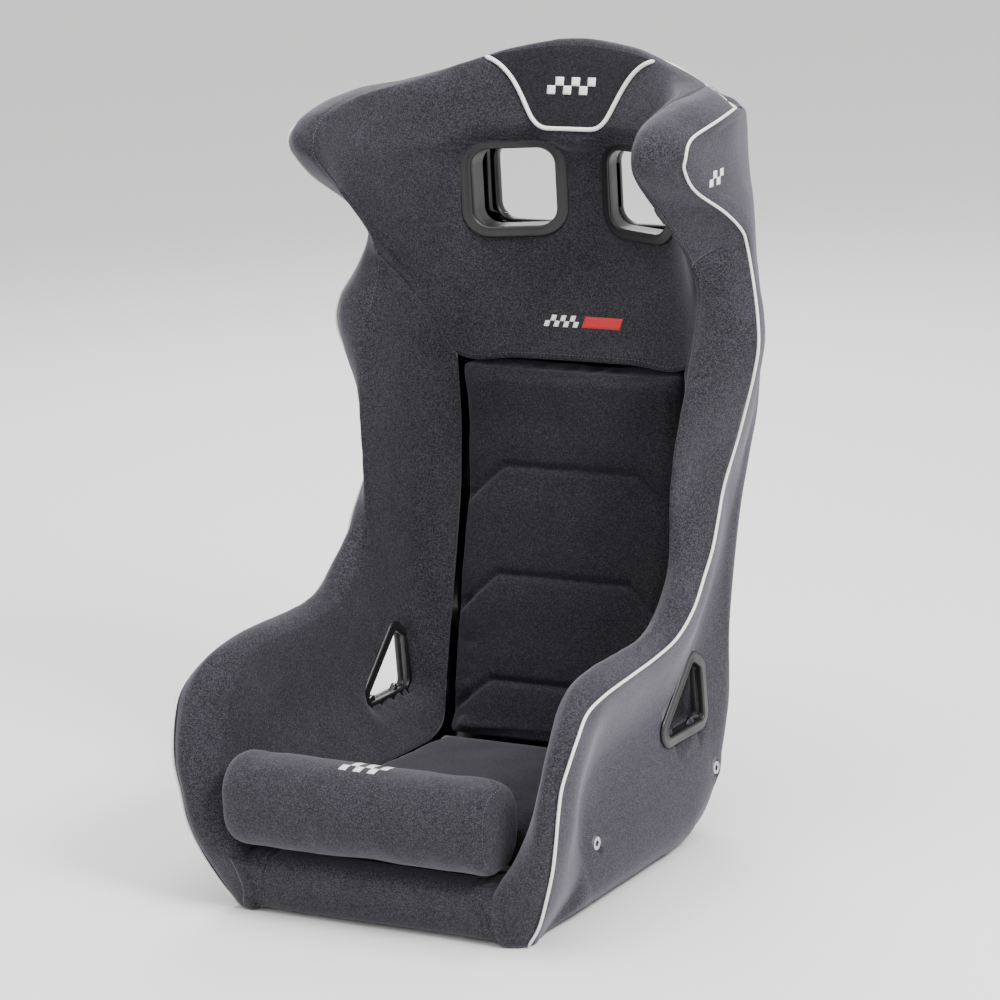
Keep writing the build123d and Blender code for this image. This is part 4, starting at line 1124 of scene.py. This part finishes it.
baseBox = [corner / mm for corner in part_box("seat_base_pad")]
base = {"top": crotchTop - 2.2, "front": baseBox[0][1] + 14, "rear": 116}
basePath = evenly([(0, base["front"], 8), (0, base["front"], base["top"] + 8),
                   (0, base["front"] + 3, baseBox[1][2] - 15),
                   (0, -230, baseBox[1][2] - 15), (0, -206, base["top"]),
                   (0, 60, base["top"]), (0, base["rear"], base["top"]),
                   (0, base["rear"] + 2, 84), (0, base["rear"] + 18, 86)], 9)
baseRows = [[(x, y, z) for x in np.linspace(-149, 149, 41)] for _, y, z in basePath]
# the darker knit here is painted shade under the cushions
basePad = sheetPiece("basePad", np.array(baseRows), (0, 0, 1), 5, [innerKnitPaintedShade],
                     lambda c: ~((np.abs(c[:, 0]) < 60) & (np.abs(c[:, 1] + 158) < 19)))
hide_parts("seat_base_pad")
print("apron and base pad ready")

# ---- stitches and embroidery --------------------------------------------------------------
stitch = {"spacing": 4.2, "length": 2.7, "radius": 0.42}


def stitchTree():
    # a row of thread stitches along a curve: one grain of thread every spacing
    tree = bpy.data.node_groups.new("stitchRow", "GeometryNodeTree")
    tree.interface.new_socket("Geometry", in_out="INPUT", socket_type="NodeSocketGeometry")
    for name in ("Spacing", "Length", "Radius"):
        tree.interface.new_socket(name, in_out="INPUT", socket_type="NodeSocketFloat")
    tree.interface.new_socket("Thread", in_out="INPUT", socket_type="NodeSocketMaterial")
    tree.interface.new_socket("Geometry", in_out="OUTPUT", socket_type="NodeSocketGeometry")
    given = addNode(tree, "NodeGroupInput").outputs
    spots = addNode(tree, "GeometryNodeCurveToPoints", {"mode": "LENGTH"},
                    links={"Curve": given["Geometry"], "Length": given["Spacing"]})
    grain = addNode(tree, "GeometryNodeMeshUVSphere", inputs={"Segments": 6, "Rings": 4,
                                                              "Radius": 1.0})
    size = addNode(tree, "ShaderNodeCombineXYZ", links={
        "X": given["Radius"], "Y": given["Radius"],
        "Z": addNode(tree, "ShaderNodeMath", {"operation": "MULTIPLY"}, {1: 0.5},
                     {0: given["Length"]}).outputs[0]})
    rows = addNode(tree, "GeometryNodeInstanceOnPoints", links={
        "Points": spots.outputs["Points"], "Instance": grain.outputs["Mesh"],
        "Rotation": spots.outputs["Rotation"], "Scale": size.outputs[0]})
    solid = addNode(tree, "GeometryNodeRealizeInstances",
                    links={"Geometry": rows.outputs["Instances"]})
    threaded = addNode(tree, "GeometryNodeSetMaterial", links={
        "Geometry": solid.outputs["Geometry"], "Material": given["Thread"]})
    addNode(tree, "NodeGroupOutput", links={"Geometry": threaded.outputs["Geometry"]})
    return tree


stitchRow = stitchTree()


def sewAlong(name, paths, body="root", material=None):
    curve = bpy.data.curves.new(name, "CURVE")
    curve.dimensions = "3D"
    for path in paths:
        path = evenly(path, 3) * mm
        spline = curve.splines.new("POLY")
        spline.points.add(len(path) - 1)
        spline.points.foreach_set("co", np.hstack([path, np.ones((len(path), 1))]).ravel())
    row = bpy.data.objects.new(name, curve)
    bpy.context.scene.collection.objects.link(row)
    sewing = row.modifiers.new("stitches", "NODES")
    sewing.node_group = stitchRow
    values = {"Spacing": stitch["spacing"] * mm, "Length": stitch["length"] * mm,
              "Radius": stitch["radius"] * mm, "Thread": material or seamThread}
    for socket in stitchRow.interface.items_tree:
        if socket.in_out == "INPUT" and socket.name in values:
            sewing[socket.identifier] = values[socket.name]
    graph = bpy.context.evaluated_depsgraph_get()
    mesh = bpy.data.meshes.new_from_object(row.evaluated_get(graph))
    bpy.data.objects.remove(row)
    bpy.data.curves.remove(curve)
    mesh.name = name
    if not mesh.materials:
        mesh.materials.append(material or seamThread)
    mesh.polygons.foreach_set("use_smooth", [True] * len(mesh.polygons))
    piece = bpy.data.objects.new(name, mesh)
    bpy.context.scene.collection.objects.link(piece)
    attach(piece, body)
    return piece


def lifted(grid, rows, columns, height, outward):
    normal = gridNormals(grid, outward)
    return grid[rows, columns] + normal[rows, columns] * height


headRows = np.arange(len(headGrid))
lastWingRow = int((36.4 - ribs["headSeam"]) * ribs["rowsPerRib"])
wingRows = headRows[:lastWingRow]
innerRows = np.arange(24 * ribs["rowsPerRib"], len(innerGrid))
crestHead = lifted(headGrid, wingRows, headCrest, 0.25, (0, -1, 0))
crestInner = lifted(innerGrid, innerRows, innerCrest, 0.25, (-1, -1, 0))
crestHeadLeft = lifted(headGrid, wingRows, headSpan - headCrest, 0.25, (0, -1, 0))
acrossHead = lifted(headGrid, 1, np.arange(3, headSpan - 2), 0.2, (0, -1, 0))
sewAlong("crestStitches", [crestHead, crestHeadLeft, crestInner, mirrored(crestInner)])
sewAlong("headSeamStitches", [acrossHead + np.array([0, 0, 2.0])])
apronSeams = []
for side in (1, -1):
    for gap in (0, apron["seamGap"]):
        seam = []
        for row, (y, z) in zip(apronGrid[:-12], profile[:-12]):
            if z > 5:
                target = side * (158 - apron["seamLean"] * min(max(z, 0), 64) - gap)
                column = int(np.argmin(np.abs(row[:, 0] - target)))
                seam.append([target, row[column, 1] - 0.5, row[column, 2]])
        apronSeams.append(seam)
sewAlong("apronStitches", apronSeams)
hemPath = lifted(outerGrid, np.arange(18 * ribs["rowsPerRib"], len(outerGrid) - 8),
                 hemColumn - 1, 0.3, (0, 1, 0))
sewAlong("hemStitches", [hemPath, mirrored(hemPath)])


def meshTree(piece):
    vertices = [v.co / mm for v in piece.data.vertices]
    return BVHTree.FromPolygons(vertices, [tuple(p.vertices) for p in piece.data.polygons])


rollSurface = meshTree(thighRoll)
capRings = []
for side in (1, -1):
    ring = []
    for k in range(72):
        angle = 2 * math.pi * k / 71
        out = np.array([0, math.cos(angle), math.sin(angle)])
        x = roll["shift"] + side * roll["capSeam"]
        ring.append(landOn(rollSurface, [(x, roll["y"], roll["z"])], -out, 0.1, 90)[0])
    capRings.append(ring)
sewAlong("rollStitches", capRings, "thigh_roll")


def checkerPatch(name, surface, centre, across, up, direction, columns, rows, size, material,
                 body="root", slant=0.0, solid=False, lift=0.5):
    # a plain embroidered checker of raised squares
    centre, across, up = np.array(centre, float), np.array(across), np.array(up)
    points, faces, count = [], [], 5
    for i in range(columns):
        for j in range(rows):
            if (i + j) % 2 and not solid:
                continue
            start = len(points)
            for u in np.linspace(i, i + 1, count):
                for v in np.linspace(j, j + 1, count):
                    high = (v - rows / 2) * size
                    wide = (u - columns / 2) * size + slant * high
                    points.append(centre + across * wide + up * high)
            faces += [(start + a * count + b, start + (a + 1) * count + b,
                       start + (a + 1) * count + b + 1, start + a * count + b + 1)
                      for a in range(count - 1) for b in range(count - 1)]
    points = landOn(surface, points, direction, lift)
    first = [points[k] for k in faces[0]]
    facing = np.dot(np.cross(first[1] - first[0], first[2] - first[0]), direction)
    if facing > 0:
        faces = [face[::-1] for face in faces]
    patch = addPiece(name, points, faces, material, body)
    if solid:
        cells = bmesh.new()
        cells.from_mesh(patch.data)
        bmesh.ops.remove_doubles(cells, verts=cells.verts, dist=0.05 * mm)
        cells.to_mesh(patch.data)
        cells.free()
    wall = patch.modifiers.new("thread", "SOLIDIFY")
    wall.thickness = 0.9 * mm
    wall.offset = -1
    return patch


badgeSurface = surfaceTree(badgeGrid)
outerSurface = surfaceTree(outerGrid)
headFinal = surfaceTree(headGrid)
checkerPatch("badgeChecker", badgeSurface, (0, 262, 852), (1, 0, 0), (0, 0, 1), (0, 1, -0.3),
             6, 2, 10.5, whiteThread)
for side, name in ((1, "right"), (-1, "left")):
    surface = outerSurface if side > 0 else surfaceTree(mirrored(outerGrid))
    checkerPatch(f"wingChecker_{name}", surface, (side * 250, 116, 779), (0, 1, 0),
                 (0, 0, 1), (-side, 0, 0), 4, 2, 8.5, whiteThread)
checkerPatch("backChecker", headFinal, (-22, 225, 577), (1, 0, 0), (0, 0, 1), (0, 1, 0),
             7, 2, 6.4, whiteThread, slant=0.2)
checkerPatch("backBar", headFinal, (32, 225, 577), (1, 0, 0), (0, 0, 1), (0, 1, 0),
             4, 1, 12.8, redThread, slant=0.2, solid=True)
checkerPatch("rollChecker", rollSurface, (-6, -262, 178), (1, 0, 0), (0, 0.62, 0.78),
             (0, 0.78, -0.62), 6, 2, 9.0, whiteThread, "thigh_roll")
print("stitches and embroidery ready")

# ---- carried-over parts ------------------------------------------------------------------
finishes = {"mount_inserts": insertSteel, "hook": hookTape, "loop": loopTape}
for node in bpy.data.objects:
    for word, material in finishes.items():
        if node.type == "MESH" and word in node.name and node.name in frame["nodes"]:
            for slotPlace in node.material_slots:
                slotPlace.material = material
            if not node.material_slots:
                node.data.materials.append(material)

# ---- studio ------------------------------------------------------------------------------
studio = {"place": (2.2754, -3.8058, 1.5062), "right": (0.8660, 0.4973, -0.0523),
          "up": (-0.0748, 0.2321, 0.9698), "forward": (-0.4944, 0.8360, -0.2382),
          "lens": 145.1}
cameraData = bpy.data.cameras.new("studioCamera")
cameraData.lens = studio["lens"]
cameraData.sensor_width = 36
cameraData.clip_end = 60
camera = bpy.data.objects.new("studioCamera", cameraData)
turnTo = Matrix([studio["right"], studio["up"], [-c for c in studio["forward"]]]).transposed()
camera.matrix_world = Matrix.Translation(studio["place"]) @ turnTo.to_4x4()
bpy.context.scene.collection.objects.link(camera)
bpy.context.scene.camera = camera

floorMaterial, *_ = startMaterial(
    "studioFloor", {"Base Color": linear("#F2F2F1"), "Roughness": 0.8})
floorMesh = bpy.data.meshes.new("studioFloor")
floorMesh.from_pydata([(-9, -9, 0), (9, -9, 0), (9, 9, 0), (-9, 9, 0)], [], [(0, 1, 2, 3)])
floorMesh.materials.append(floorMaterial)
floor = bpy.data.objects.new("studioFloor", floorMesh)
floor.location.z = -0.0005
bpy.context.scene.collection.objects.link(floor)

lamps = {"key": ((2.9, -1.0, 3.0), 1.1, 185), "fill": ((-2.2, -3.0, 1.4), 2.4, 8),
         "top": ((0.1, -0.3, 3.0), 1.6, 60), "rim": ((-1.6, 2.4, 2.3), 1.8, 60)}
for name, (place, size, power) in lamps.items():
    lampData = bpy.data.lights.new(name, "AREA")
    lampData.size = size
    lampData.energy = power
    lamp = bpy.data.objects.new(name, lampData)
    lamp.location = place
    aim = Vector((0, 0, 0.45)) - Vector(place)
    lamp.rotation_euler = aim.to_track_quat("-Z", "Y").to_euler()
    bpy.context.scene.collection.objects.link(lamp)
world = bpy.data.worlds.new("studioWorld")
world.use_nodes = True
world.node_tree.nodes["Background"].inputs["Color"].default_value = linear("#FFFFFF")
world.node_tree.nodes["Background"].inputs["Strength"].default_value = 1.05
bpy.context.scene.world = world
print("studio ready")
